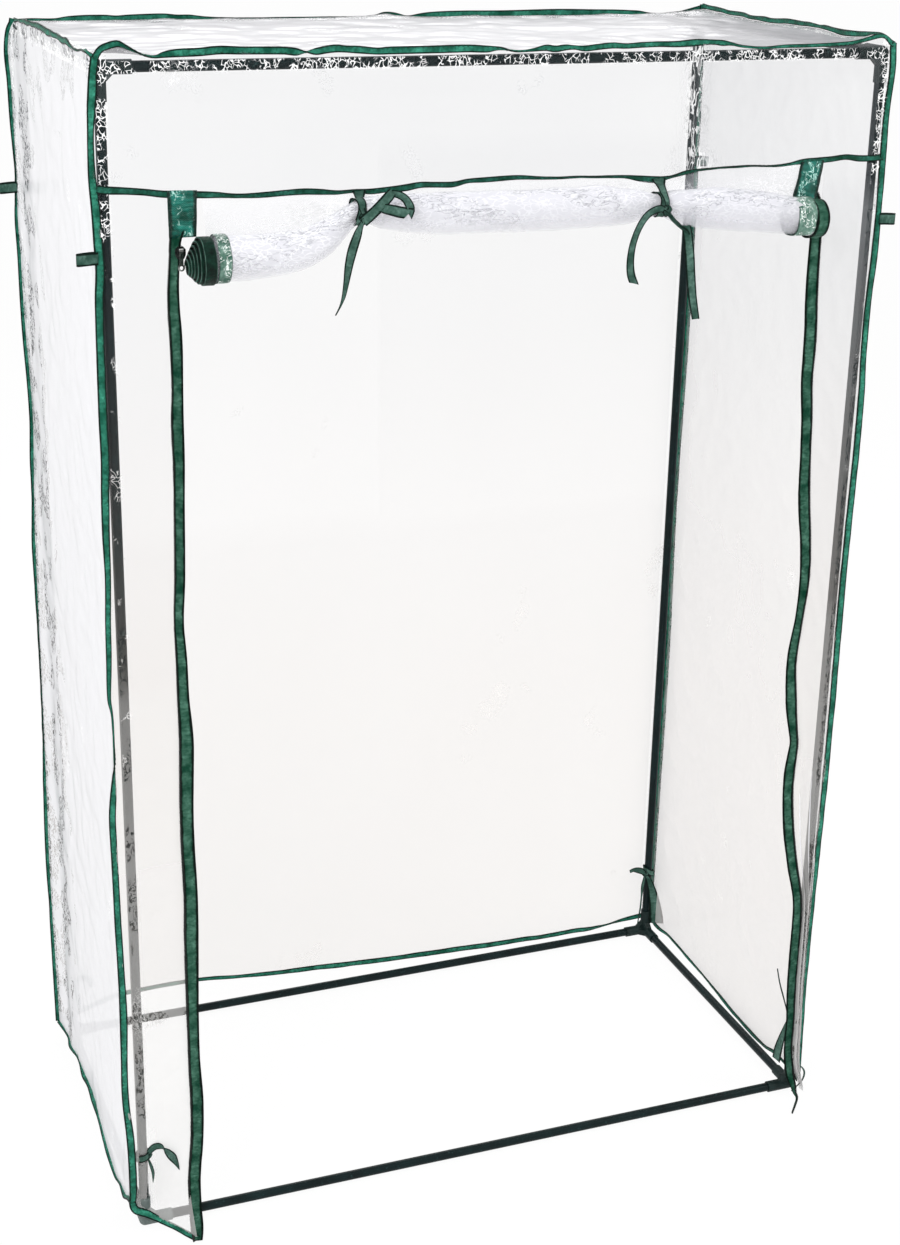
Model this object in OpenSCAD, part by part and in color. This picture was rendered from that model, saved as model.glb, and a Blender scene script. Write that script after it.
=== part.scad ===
// Walk-in style tomato greenhouse: a push-fit tube frame under a clear film
// cover with green bindings, two zips and a door that rolls up under a header.
// Millimetres, +Z up, the door faces -Y, the floor is Z = 0.

/* [Frame] */
// Distance between the left and right post centres
post_span_x = 970; // [760:10:1400]
// Distance between the front and back post centres
post_span_y = 486; // [420:2:800]
// Height from the bottom rail centres to the top rail centres
rail_rise = 1480; // [1380:10:1900]
// Outer diameter of the frame tubes
tube_d = 12.5; // [11:0.5:16]
// Wall of the frame tubes
tube_wall = 0.6; // [0.4:0.1:1.2]
// Height of the post splice above the bottom rail centres
splice_rise = 725; // [500:5:900]
// Length of the reduced end that plugs into the lower post tube
spigot_len = 40; // [20:5:80]

/* [Corner connectors] */
// Wall of the connector sleeves
connector_wall = 1.65; // [1.2:0.05:3]
// Reach of each sleeve from the corner centre
sleeve_reach = 36; // [30:1:60]
// Solid plastic between the corner centre bores
stop_wall = 3.5; // [2:0.5:6]
// Chamfer that fills the inner corner between two sleeves
web_chamfer = 6; // [2:0.5:10]
// Thickness of the inner corner web
web_t = 10; // [6:0.5:12]
// Depth of the flat under each bottom connector
foot_flat = 0.6; // [0.3:0.1:1.2]

/* [Cover] */
// Thickness of the clear film
film_t = 0.5; // [0.3:0.1:1]
// Air between the connectors and the film
cover_gap = 0.3; // [0.2:0.1:1.5]
// Height of the header above the door seam
header_h = 141; // [110:1:200]
// Width of the woven binding tape
binding_w = 10; // [7:1:14]
// Thickness of the folded binding tape
binding_t = 1.6; // [1:0.1:2.4]
// Height of the side and back hems above the floor
hem_rise = 16; // [4:1:40]
// Rise of the left strip's hem at the corner post
strip_hem_rise = 34; // [10:1:60]
// Lowest point of the strips above the floor
strip_foot = 3; // [1:0.5:10]
// Width of the film strip beside the door at its top
strip_w = 73; // [60:1:110]
// Gap between the right zip's slider and the post that the strip is tied back to
gather_gap = 1.2; // [0.8:0.1:40]

/* [Zips] */
// Width of the zip tape
zip_w = 17; // [14:1:24]
// Thickness of the zip tape
zip_t = 1.6; // [1:0.1:2]
// Diameter of the zip coil along the tape's edge
coil_d = 2.4; // [2:0.1:3.6]
// Width of the patch over each zip top
patch_w = 34; // [28:1:44]
// Height of the patch over each zip top
patch_h = 48; // [36:1:60]
// Thickness of the patch over each zip top
patch_t = 1.2; // [0.8:0.1:2]
// Width of the zip slider
slider_w = 12; // [10:0.5:14]
// Height of the zip slider
slider_h = 14; // [12:0.5:18]
// Thickness of the zip slider
slider_t = 7; // [5.5:0.1:8]
// Drop of the slider's centre below the patch
slider_drop = 8; // [7.5:0.5:20]
// Length of the pull below its pin
pull_len = 24; // [16:1:34]
// Width of the pull
pull_w = 5; // [4:0.5:6]
// Thickness of the pull
pull_t = 1.2; // [0.8:0.1:1.6]

/* [Rolled door] */
// Largest radius of the rolled film
roll_r = 26; // [20:1:34]
// Radius of the roll's coiled left edge
left_coil_r = 28; // [20:1:36]
// Radius of the roll's coiled right edge
right_coil_r = 25; // [20:1:34]
// Radius of the roll where a ribbon gathers it
neck_r = 13.5; // [10:0.5:18]
// Film wound in the roll, as one wall
roll_wall = 1.5; // [0.8:0.1:3]
// Drop of the roll's middle below the header seam
roll_drop = 33; // [30:1:60]
// Sag of the roll's left end below its middle
left_sag = 38; // [0:1:60]
// Sag of the roll's right end below its middle
right_sag = 26; // [0:1:60]
// Width of the wound edge tape
edge_w = 22; // [12:1:30]
// Thickness of the wound edge tape
edge_t = 2.4; // [1.2:0.1:2.6]
// Turns of the wound edge tape
edge_turns = 6; // [4:1:6]
// How far the inner turns stand out of the roll's left end
telescope = 14; // [0:1:20]
// Air between the roll and the cover
roll_gap = 0.5; // [0.3:0.1:3]

/* [Ribbons and tabs] */
// Width of the tie ribbons
ribbon_w = 12; // [8:1:16]
// Thickness of the tie ribbons
ribbon_t = 1.2; // [0.8:0.1:1.2]
// Place of the left roll tie along the door
left_tie_x = -203; // [-240:1:-160]
// Place of the right roll tie along the door
right_tie_x = 171; // [140:1:210]
// Radius of the roll ties' knots
knot_r = 7; // [6:0.5:8]
// Drop of the knots below the middle of the gathered roll
knot_drop = 9; // [4:1:14]
// Reach of the left tie's bow from its knot
bow_reach = 58; // [40:1:90]
// Length of the left tie's tail
left_tail = 108; // [60:1:160]
// Length of the right tie's arched tail
arched_tail = 86; // [50:1:130]
// Length of the right tie's hanging tail
right_tail = 130; // [80:1:180]
// Length of the bottom ties' tails
bottom_tail = 40; // [20:1:44]
// Height of the knots of the left bottom ties
left_tie_z = 104; // [70:1:300]
// Height of the knot of the front right bottom tie
front_tie_z = 66; // [60:1:300]
// Height of the knot of the back right bottom tie
back_tie_z = 130; // [70:1:300]
// Reach of the guy tabs beyond the cover
tab_reach = 24; // [12:1:40]
// Height of the guy tabs
tab_h = 15; // [10:1:25]
// Thickness of the guy tabs
tab_t = 1.2; // [0.8:0.1:1.6]
// Drop of the guy tabs below the header seam
tab_drop = 71; // [40:1:120]

/* [Hidden] */
$fn = 48;
cut = 1;            // overshoot of every cutting solid
tube_fit = 0.1;     // radial clearance of a tube in its sleeve, and of a spigot
pin_fit = 0.1;      // radial clearance of the pull on its pin
side_gap = 0.3;     // air between neighbours that must stay apart
left = -1;
right = 1;
front = -1;
back = 1;

// frame
tube_r = tube_d / 2;
tube_bore_r = tube_r - tube_wall;
sleeve_bore_r = tube_r + tube_fit;
connector_r = sleeve_bore_r + connector_wall;
tube_stop = sleeve_bore_r + stop_wall;
post_x = post_span_x / 2;
post_y = post_span_y / 2;
low_z = connector_r - foot_flat;
high_z = low_z + rail_rise;
splice_z = low_z + splice_rise;

// cover, inner faces and outer faces
in_x = post_x + connector_r + cover_gap;
in_y = post_y + connector_r + cover_gap;
in_z = high_z + connector_r + cover_gap;
out_x = in_x + film_t;
out_y = in_y + film_t;
out_z = in_z + film_t;
seam_z = out_z - header_h;
flange_reach = (binding_w + binding_t / 2) * sqrt(1 / 2);

// zips: the coil runs along the inner edge of each tape, the film laps behind it
zip_x = out_x - strip_w - zip_w;
zip_y = -out_y - zip_t / 2;
film_edge = slider_w / 2 + 1;
patch_x = zip_x + zip_w * 2 / 3;
patch_z = seam_z - binding_w / 2 - patch_h;
zip_len = patch_z - strip_foot;
right_gather = post_x - connector_r - gather_gap - slider_w / 2 - zip_x;
gather_angle = atan(right_gather / zip_len);
slider_z = patch_z - slider_drop - slider_h / 2;
pin_r = 0.8;
ear_t = 1;
barrel_r = pin_r + pin_fit + 0.8;
pin_y = -(slider_t / 2 + side_gap + barrel_r);
pin_z = slider_h / 4;

// rolled door
door_half = zip_x - slider_w / 2 - 3;
widest_r = max(roll_r, left_coil_r, right_coil_r);
roll_y = -(out_y + roll_gap + widest_r);
roll_z = seam_z - roll_drop;
left_end_x = -door_half + telescope + edge_w + side_gap;
right_end_x = door_half - edge_w - side_gap;
roll_front = roll_y - widest_r;

// roll ties: a band around each neck, and a strap that passes over it to a knot
band_r = neck_r + side_gap + ribbon_t;
strap_r = band_r + side_gap;
knot_y = roll_y - strap_r - knot_r;
ribbon_y = roll_front - side_gap - ribbon_t;

// the origin is the middle of the overall length
front_reach = max(-ribbon_y, knot_r - knot_y);
back_reach = out_y + flange_reach;
y_mid = (front_reach - back_reach) / 2;

film = [0.93, 0.95, 0.95, 0.45];
green = [0.13, 0.47, 0.36];
ribbon_green = [0.26, 0.47, 0.4];
steel = [0.19, 0.26, 0.27];
plastic = [0.15, 0.21, 0.21];
metal = [0.72, 0.73, 0.74];

module in_place() {
  translate([0, y_mid, 0]) children();
}

// ---- frame ----

module tube(length, r, wall) {
  difference() {
    cylinder(h = length, r = r);
    translate([0, 0, -cut]) cylinder(h = length + 2 * cut, r = r - wall);
  }
}

module along_x() {
  rotate([0, 90, 0]) children();
}

module along_y() {
  rotate([-90, 0, 0]) children();
}

// Inner corner web between two sleeves, in the XY plane
module web() {
  leg = connector_r * 2 + web_chamfer;
  translate([0, 0, -web_t / 2]) linear_extrude(web_t) polygon([[0, 0], [leg, 0], [0, leg]]);
}

// Three-way connector whose sleeves point along +X, +Y and +Z
module three_way(flat_under) {
  difference() {
    union() {
      sphere(r = connector_r);
      cylinder(h = sleeve_reach, r = connector_r);
      along_x() cylinder(h = sleeve_reach, r = connector_r);
      along_y() cylinder(h = sleeve_reach, r = connector_r);
      web();
      rotate([90, 0, 0]) web();
      rotate([0, -90, 0]) web();
    }
    bore_len = sleeve_reach - tube_stop + cut;
    translate([0, 0, tube_stop]) cylinder(h = bore_len, r = sleeve_bore_r);
    translate([tube_stop, 0, 0]) along_x() cylinder(h = bore_len, r = sleeve_bore_r);
    translate([0, tube_stop, 0]) along_y() cylinder(h = bore_len, r = sleeve_bore_r);
    if (flat_under)
      translate([-connector_r, -connector_r, -connector_r - cut])
        cube([2 * sleeve_reach, 2 * sleeve_reach, foot_flat + cut]);
  }
}

// A corner at side_x, side_y, turned so that its sleeves point into the frame
module corner(side_x, side_y, top) {
  color(plastic) in_place()
    translate([side_x * post_x, side_y * post_y, top ? high_z : low_z])
      mirror([side_x > 0 ? 1 : 0, 0, 0]) mirror([0, side_y > 0 ? 1 : 0, 0])
        mirror([0, 0, top ? 1 : 0]) three_way(!top);
}

// The lower tube runs from the bottom connector to the splice
module post_lower(side_x, side_y) {
  color(steel) in_place()
    translate([side_x * post_x, side_y * post_y, low_z + tube_stop])
      tube(splice_rise - tube_stop, tube_r, tube_wall);
}

// The upper tube has a reduced end that plugs into the lower tube
module post_upper(side_x, side_y) {
  spigot_r = tube_bore_r - tube_fit;
  color(steel) in_place()
    translate([side_x * post_x, side_y * post_y, splice_z]) {
      tube(rail_rise - splice_rise - tube_stop, tube_r, tube_wall);
      translate([0, 0, -spigot_len]) tube(spigot_len, spigot_r, tube_wall);
      difference() {
        cylinder(h = tube_wall, r = tube_r);
        translate([0, 0, -cut]) cylinder(h = tube_wall + 2 * cut, r = spigot_r - tube_wall);
      }
    }
}

module rail_x(side_y, z) {
  color(steel) in_place()
    translate([-post_x + tube_stop, side_y * post_y, z])
      along_x() tube(post_span_x - 2 * tube_stop, tube_r, tube_wall);
}

module rail_y(side_x, z) {
  color(steel) in_place()
    translate([side_x * post_x, -post_y + tube_stop, z])
      along_y() tube(post_span_y - 2 * tube_stop, tube_r, tube_wall);
}

// ---- cover ----

// A plate of film or tape in the XZ plane, its front face at y, from an outline
module front_plate(points, t, y) {
  translate([0, y + t, 0]) rotate([90, 0, 0]) linear_extrude(t) polygon(points);
}

module panel_top() {
  color(film) in_place()
    translate([-out_x, -out_y, in_z]) cube([2 * out_x, 2 * out_y, film_t]);
}

module panel_back() {
  z = hem_rise + binding_w;
  color(film) in_place()
    translate([-out_x, in_y, z]) cube([2 * out_x, film_t, in_z - z]);
}

module panel_side(side) {
  z = hem_rise + binding_w;
  color(film) in_place()
    translate([side > 0 ? in_x : -out_x, -in_y, z]) cube([film_t, 2 * in_y, in_z - z]);
}

module panel_left() { panel_side(left); }
module panel_right() { panel_side(right); }

module panel_header() {
  color(film) in_place()
    translate([-out_x, -out_y, seam_z]) cube([2 * out_x, film_t, in_z - seam_z]);
}

// The left strip hangs straight; its hem rises towards the corner post
module strip_left() {
  edge = zip_x + film_edge;
  foot = strip_foot + binding_w;
  high_foot = foot + strip_hem_rise;
  color(film) in_place()
    front_plate([[-out_x, high_foot], [-out_x + binding_t, high_foot], [-zip_x - zip_w, foot],
      [-edge, foot], [-edge, patch_z], [-patch_x, patch_z], [-patch_x, seam_z], [-out_x, seam_z]],
      film_t, -out_y);
}

// The right strip narrows towards its foot, where it is tied back to the post
module strip_right() {
  edge = zip_x + film_edge / cos(gather_angle);
  color(film) in_place()
    front_plate([[out_x, strip_foot], [edge + right_gather, strip_foot], [edge, patch_z],
      [patch_x, patch_z], [patch_x, seam_z], [out_x, seam_z]], film_t, -out_y);
}

// ---- bindings and hems ----

// Folded tape that stands out of a film edge; the edge runs along +Z at the origin
module flange(length) {
  translate([0, -binding_t / 2, 0]) cube([binding_w, binding_t, length]);
}

module top_binding_x(side_y) {
  color(green) in_place()
    translate([-out_x + binding_t, side_y * out_y, out_z])
      along_x() rotate([0, 0, side_y * 135]) flange(2 * (out_x - binding_t));
}

module top_binding_front() { top_binding_x(front); }
module top_binding_back() { top_binding_x(back); }

module top_binding_sides() {
  for (side_x = [left, right])
    color(green) in_place()
      translate([side_x * out_x, -out_y + binding_t, out_z])
        along_y() rotate([0, 0, side_x > 0 ? -45 : -135]) flange(2 * (out_y - binding_t));
}

module corner_bindings() {
  for (side_x = [left, right], side_y = [front, back])
    color(green) in_place()
      translate([side_x * out_x, side_y * out_y, hem_rise])
        rotate([0, 0, atan2(side_y, side_x)]) flange(out_z - binding_t - hem_rise);
}

module header_seam() {
  color(green) in_place()
    translate([-out_x + binding_t, -out_y - binding_t, seam_z - binding_w / 2])
      cube([2 * (out_x - binding_t), binding_t, binding_w]);
}

module hem_back() {
  color(green) in_place()
    translate([-out_x + binding_t, in_y, hem_rise])
      cube([2 * (out_x - binding_t), binding_t, binding_w]);
}

module side_hems() {
  for (side_x = [left, right])
    color(green) in_place()
      translate([side_x > 0 ? in_x : -in_x - binding_t, binding_t - in_y, hem_rise])
        cube([binding_t, 2 * (in_y - binding_t), binding_w]);
}

module hem_strip_left() {
  tape_edge = zip_x + zip_w;
  outer = out_x - binding_t;
  color(green) in_place()
    front_plate([[-outer, strip_foot + strip_hem_rise], [-tape_edge, strip_foot],
      [-tape_edge, strip_foot + binding_w], [-outer, strip_foot + strip_hem_rise + binding_w]],
      binding_t, -in_y - binding_t);
}

// ---- zips ----

// Tape and coil that hang from the origin; the tape lies on the -X side
module zip_tape(length) {
  translate([-zip_w, -zip_t / 2, -length]) cube([zip_w, zip_t, length]);
  translate([0, 0, -length]) cylinder(h = length, r = coil_d / 2);
}

module on_left_zip() {
  translate([-zip_x, zip_y, patch_z]) children();
}

// The right zip leans outwards to its foot beside the post
module on_right_zip() {
  translate([zip_x, zip_y, patch_z]) rotate([0, -gather_angle, 0]) mirror([1, 0, 0]) children();
}

module zip_tape_left() {
  color(green) in_place() on_left_zip() zip_tape(zip_len);
}

module zip_tape_right() {
  color(green) in_place()
    intersection() {
      on_right_zip() zip_tape(zip_len / cos(gather_angle) + zip_w);
      translate([0, zip_y - coil_d, strip_foot]) cube([out_x, 2 * coil_d, zip_len]);
    }
}

module zip_patch(side) {
  inner = patch_x - patch_w;
  color(green) in_place()
    translate([side > 0 ? inner : -patch_x, -in_y - patch_t, patch_z])
      cube([patch_w, patch_t, patch_h]);
}

module zip_patch_left() { zip_patch(left); }
module zip_patch_right() { zip_patch(right); }

// Slider body around a coil that runs along Z, with ears that hold the pull's pin
module zip_slider() {
  half_ears = pull_w / 2 + side_gap;
  ear_reach = side_gap + barrel_r + 2 * pin_r;
  difference() {
    translate([0, slider_t / 2, -slider_h / 2]) rotate([90, 0, 0]) linear_extrude(slider_t)
      polygon([[-slider_w / 3, 0], [slider_w / 3, 0], [slider_w / 2, slider_h / 3],
        [slider_w / 2, slider_h * 3 / 4], [slider_w / 4, slider_h], [-slider_w / 4, slider_h],
        [-slider_w / 2, slider_h * 3 / 4], [-slider_w / 2, slider_h / 3]]);
    translate([0, 0, -slider_h]) cylinder(h = 2 * slider_h, r = coil_d / 2 + side_gap);
    translate([-slider_w, -zip_t / 2 - side_gap, -slider_h])
      cube([slider_w, zip_t + 2 * side_gap, 2 * slider_h]);
  }
  for (side_x = [left, right])
    translate([side_x * (half_ears + ear_t / 2) - ear_t / 2, -slider_t / 2 - ear_reach, pin_z - 2])
      cube([ear_t, ear_reach + ear_t / 2, 4]);
  translate([-half_ears - ear_t / 2, pin_y, pin_z])
    along_x() cylinder(h = 2 * half_ears + ear_t, r = pin_r);
}

// Pull that hangs from the slider's pin, with a round end
module zip_pull() {
  end_r = pull_w * 0.8;
  difference() {
    union() {
      translate([-pull_w / 2, pin_y, pin_z]) along_x() cylinder(h = pull_w, r = barrel_r);
      translate([-pull_w / 2, pin_y - pull_t / 2, pin_z - pull_len + end_r])
        cube([pull_w, pull_t, pull_len - end_r]);
      translate([0, pin_y + pull_t / 2, pin_z - pull_len + end_r])
        rotate([90, 0, 0]) cylinder(h = pull_t, r = end_r);
    }
    translate([-pull_w, pin_y, pin_z]) along_x() cylinder(h = 2 * pull_w, r = pin_r + pin_fit);
    translate([0, pin_y + pull_t, pin_z - pull_len + end_r])
      rotate([90, 0, 0]) cylinder(h = 2 * pull_t, r = end_r / 2);
  }
}

module at_left_slider() {
  in_place() on_left_zip() translate([0, 0, slider_z - patch_z]) children();
}

module at_right_slider() {
  in_place() on_right_zip() translate([0, 0, slider_z - patch_z]) children();
}

module zip_slider_left() { color(metal) at_left_slider() zip_slider(); }
module zip_slider_right() { color(metal) at_right_slider() zip_slider(); }
module zip_pull_left() { color(metal) at_left_slider() zip_pull(); }
module zip_pull_right() { color(metal) at_right_slider() zip_pull(); }

// ---- rolled door ----

// Single film that hangs from the seam behind the roll
module door_curtain() {
  half = patch_x - patch_w - side_gap;
  height = patch_h - side_gap;
  color(film) in_place()
    translate([-half, -out_y, patch_z]) cube([2 * half, film_t, height]);
}

// Stations of the roll: place along X, height against the middle, radius.
// The roll droops at both ends and is gathered at its two ties.
neck_half = max(ribbon_w / 2, knot_r) + 2;
neck_fade = 40;
left_neck_z = 6;
right_neck_z = 2;
roll_stations = [
  [left_end_x, -left_sag, left_coil_r - side_gap],
  [left_tie_x - 80, -left_sag / 2, roll_r],
  [left_tie_x - neck_fade, -4, roll_r * 0.78],
  [left_tie_x - neck_half, left_neck_z, neck_r],
  [left_tie_x + neck_half, left_neck_z, neck_r],
  [left_tie_x + neck_fade, 4, roll_r * 0.72],
  [left_tie_x + 110, 1, roll_r * 0.94],
  [(left_tie_x + right_tie_x) / 2 + 40, 0, roll_r],
  [right_tie_x - neck_fade, 1, roll_r * 0.84],
  [right_tie_x - neck_half, right_neck_z, neck_r],
  [right_tie_x + neck_half, right_neck_z, neck_r],
  [right_tie_x + neck_fade, -2, roll_r * 0.94],
  [right_tie_x + 100, -right_sag / 2, roll_r],
  [right_end_x, -right_sag, right_coil_r - side_gap]
];
roll_sides = 28;

function ring(station, r) = [for (i = [0:roll_sides - 1])
  let (a = 360 * i / roll_sides)
    [station[0], roll_y + r * cos(a), roll_z + station[1] + r * sin(a)]];

function quads(a, b, n, count) = [for (i = [0:count - 1], j = [0:n - 1])
  let (k = (j + 1) % n, p = (a + i) * n, q = (b + i) * n)
    [p + j, p + k, q + k, q + j]];

function flipped(faces) = [for (f = faces) [f[3], f[2], f[1], f[0]]];

// Open-ended film tube: outer rings first, then inner rings
module door_roll() {
  n = roll_sides;
  count = len(roll_stations);
  outer = [for (s = roll_stations) each ring(s, s[2])];
  inner = [for (s = roll_stations) each ring(s, s[2] - roll_wall)];
  faces = concat(
    quads(0, 1, n, count - 1),
    flipped(quads(count, count + 1, n, count - 1)),
    flipped(quads(0, count, n, 1)),
    quads(count - 1, 2 * count - 1, n, 1));
  color(film) in_place() polyhedron(concat(outer, inner), faces, convexity = 6);
}

// Edge tape wound with the film; the inner turns stand out by lean
module wound_tape(outer_r, lean) {
  steps = 24;
  core_r = 3;
  pitch = (outer_r - edge_t - core_r) / edge_turns;
  count = edge_turns * steps;
  points = [for (i = [0:count])
    let (a = 360 * i / steps, r = core_r + pitch * i / steps, x = lean * i / count)
      each [[x, r * cos(a), r * sin(a)], [x, (r + edge_t) * cos(a), (r + edge_t) * sin(a)],
        [x + edge_w, (r + edge_t) * cos(a), (r + edge_t) * sin(a)],
        [x + edge_w, r * cos(a), r * sin(a)]]];
  last = 4 * count;
  polyhedron(points, concat(
    [[3, 2, 1, 0]],
    [for (i = [0:count - 1], j = [0:3]) let (k = (j + 1) % 4, p = 4 * i, q = p + 4)
      [p + j, p + k, q + k, q + j]],
    [[last, last + 1, last + 2, last + 3]]), convexity = 12);
}

module door_edge_left() {
  color(green) in_place()
    translate([-door_half, roll_y, roll_z - left_sag]) wound_tape(left_coil_r, telescope);
}

module door_edge_right() {
  color(green) in_place()
    translate([door_half, roll_y, roll_z - right_sag])
      mirror([1, 0, 0]) wound_tape(right_coil_r, 0);
}

// ---- ribbons and tabs ----

// Flat ribbon of width w along a path of [x, z] points, as an outline
function side_points(path, w, s) = [for (i = [0:len(path) - 1])
  let (a = path[max(i - 1, 0)], b = path[min(i + 1, len(path) - 1)],
    d = b - a, l = norm(d))
    path[i] + s * w / 2 * [-d[1] / l, d[0] / l]];

function ribbon_outline(path, w) =
  let (back_side = side_points(path, w, -1), count = len(path))
    concat(side_points(path, w, 1), [for (i = [1:count]) back_side[count - i]]);

module ribbon(path, w) {
  front_plate(ribbon_outline(path, w), ribbon_t, ribbon_y);
}

// Bands that gather the roll; they go down with it
module roll_bands() {
  for (neck = [[left_tie_x, left_neck_z], [right_tie_x, right_neck_z]])
    color(ribbon_green) in_place()
      translate([neck[0] - ribbon_w / 2, roll_y, roll_z + neck[1]])
        along_x() tube(ribbon_w, band_r, ribbon_t);
}

// Strap sewn under the seam, which passes over the band to the knot in front
module tie_strap(x, z, knot_z) {
  seam_y = -out_y - binding_t;
  top_z = z + strap_r;
  translate([x - ribbon_w / 2, seam_y - ribbon_t, top_z])
    cube([ribbon_w, ribbon_t, seam_z + binding_w / 2 - top_z]);
  translate([x - ribbon_w / 2, roll_y, top_z])
    cube([ribbon_w, seam_y - roll_y, ribbon_t]);
  intersection() {
    translate([x - ribbon_w / 2, roll_y, z]) along_x() tube(ribbon_w, strap_r + ribbon_t, ribbon_t);
    translate([x - ribbon_w, roll_y - 2 * strap_r, z]) cube([2 * ribbon_w, 2 * strap_r, 2 * strap_r]);
  }
  translate([x - ribbon_w / 2, roll_y - strap_r - ribbon_t, knot_z])
    cube([ribbon_w, ribbon_t, z - knot_z]);
  translate([x, knot_y, knot_z]) sphere(r = knot_r);
  translate([x, ribbon_y, knot_z]) along_y() cylinder(h = knot_y - ribbon_y, r = knot_r / 2);
}

module roll_tie_left() {
  z = roll_z + left_neck_z;
  color(ribbon_green) in_place() {
    tie_strap(left_tie_x, z, z - knot_drop);
    translate([left_tie_x, 0, z - knot_drop]) {
      ribbon(bow_reach * [[0, 0], [0.38, 0.38], [0.72, 0.47]], ribbon_w);
      ribbon(bow_reach * [[0.17, 0.17], [0.59, 0.16], [0.86, 0.05]], ribbon_w);
      ribbon(bow_reach * [[0.72, 0.53], [1, 0.24], [0.83, -0.05]], ribbon_w * 0.8);
      ribbon(left_tail * [[0, 0.04], [-0.04, -0.19], [-0.11, -0.46], [-0.2, -0.83], [-0.28, -1]],
        ribbon_w);
    }
  }
}

module roll_tie_right() {
  z = roll_z + right_neck_z;
  color(ribbon_green) in_place() {
    tie_strap(right_tie_x, z, z - knot_drop);
    translate([right_tie_x, 0, z - knot_drop]) {
      ribbon(arched_tail * [[0.02, 0], [-0.21, -0.01], [-0.35, -0.26], [-0.41, -0.7], [-0.33, -1]],
        ribbon_w * 0.8);
      ribbon(right_tail * [[0, 0], [0.15, -0.11], [0.34, -0.215]], ribbon_w / 4);
      ribbon(right_tail * [[0.34, -0.17], [0.36, -0.585], [0.42, -1]], ribbon_w);
    }
  }
}

// Tie around a post: band, knot on the inside and two hanging tails
module bottom_tie(side_x, side_y, z, tails) {
  post_band_r = tube_r + side_gap + ribbon_t;
  small_knot_r = knot_r * 0.8;
  knot_x = tube_r + side_gap + max(small_knot_r, ribbon_w / 2);
  color(ribbon_green) in_place()
    translate([side_x * post_x, side_y * post_y, z]) mirror([side_x > 0 ? 1 : 0, 0, 0]) {
      translate([0, 0, -ribbon_w / 2]) tube(ribbon_w, post_band_r, ribbon_t);
      translate([knot_x, 0, 0]) {
        sphere(r = small_knot_r);
        for (path = tails) front_plate(ribbon_outline(path, ribbon_w), ribbon_t, -ribbon_t / 2);
      }
    }
}

module bottom_tie_front_left() {
  bottom_tie(left, front, left_tie_z,
    bottom_tail * [[[0, 0], [0.25, 0.22], [0.55, 0.1], [0.85, -0.6]], [[0, 0], [0.15, -0.35], [0.2, -0.9]]]);
}

module bottom_tie_front_right() {
  bottom_tie(right, front, front_tie_z,
    bottom_tail * [[[0, 0], [0.35, -0.15], [0.55, -0.8]], [[0, 0], [0.1, -0.5], [0.15, -0.95]]]);
}

module bottom_tie_back_left() {
  bottom_tie(left, back, left_tie_z,
    bottom_tail * [[[0, 0], [0.3, -0.2], [0.4, -1.1]], [[0, 0], [0.08, -0.5], [0.05, -1.3]]]);
}

module bottom_tie_back_right() {
  bottom_tie(right, back, back_tie_z,
    bottom_tail * [[[0, 0], [0.35, 0.15], [0.6, -0.2]], [[0, 0], [0.1, -0.65], [0.08, -1.6]]]);
}

// Webbing tabs for guy lines, sewn to the side panels beside each corner
module guy_tabs() {
  root_y = out_y - binding_t * 1.5;
  for (side_x = [left, right], side_y = [front, back])
    color(ribbon_green) in_place()
      translate([side_x > 0 ? out_x : -out_x - tab_reach,
        side_y * (root_y - tab_t / 2) - tab_t / 2, seam_z - tab_drop - tab_h / 2])
        cube([tab_reach, tab_t, tab_h]);
}

corner(left, front, false);  // corner_front_left_bottom
corner(right, front, false);  // corner_front_right_bottom
corner(left, back, false);  // corner_back_left_bottom
corner(right, back, false);  // corner_back_right_bottom
corner(left, front, true);  // corner_front_left_top
corner(right, front, true);  // corner_front_right_top
corner(left, back, true);  // corner_back_left_top
corner(right, back, true);  // corner_back_right_top
post_lower(left, front);  // post_lower_front_left
post_lower(right, front);  // post_lower_front_right
post_lower(left, back);  // post_lower_back_left
post_lower(right, back);  // post_lower_back_right
post_upper(left, front);  // post_upper_front_left
post_upper(right, front);  // post_upper_front_right
post_upper(left, back);  // post_upper_back_left
post_upper(right, back);  // post_upper_back_right
rail_x(front, low_z);  // rail_front_bottom
rail_x(back, low_z);  // rail_back_bottom
rail_y(left, low_z);  // rail_left_bottom
rail_y(right, low_z);  // rail_right_bottom
rail_x(front, high_z);  // rail_front_top
rail_x(back, high_z);  // rail_back_top
rail_y(left, high_z);  // rail_left_top
rail_y(right, high_z);  // rail_right_top
panel_top();
panel_back();
panel_left();
panel_right();
panel_header();
strip_left();
strip_right();
top_binding_front();
top_binding_back();
top_binding_sides();
corner_bindings();
header_seam();
hem_back();
side_hems();
hem_strip_left();
zip_tape_left();
zip_tape_right();
zip_patch_left();
zip_patch_right();
zip_slider_left();
zip_slider_right();
zip_pull_left();
zip_pull_right();
door_curtain();
door_roll();
door_edge_left();
door_edge_right();
roll_bands();
roll_tie_left();
roll_tie_right();
bottom_tie_front_left();
bottom_tie_front_right();
bottom_tie_back_left();
bottom_tie_back_right();
guy_tabs();
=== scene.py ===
import math
import bmesh
import bpy
from mathutils import Matrix, Vector, noise


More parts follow.
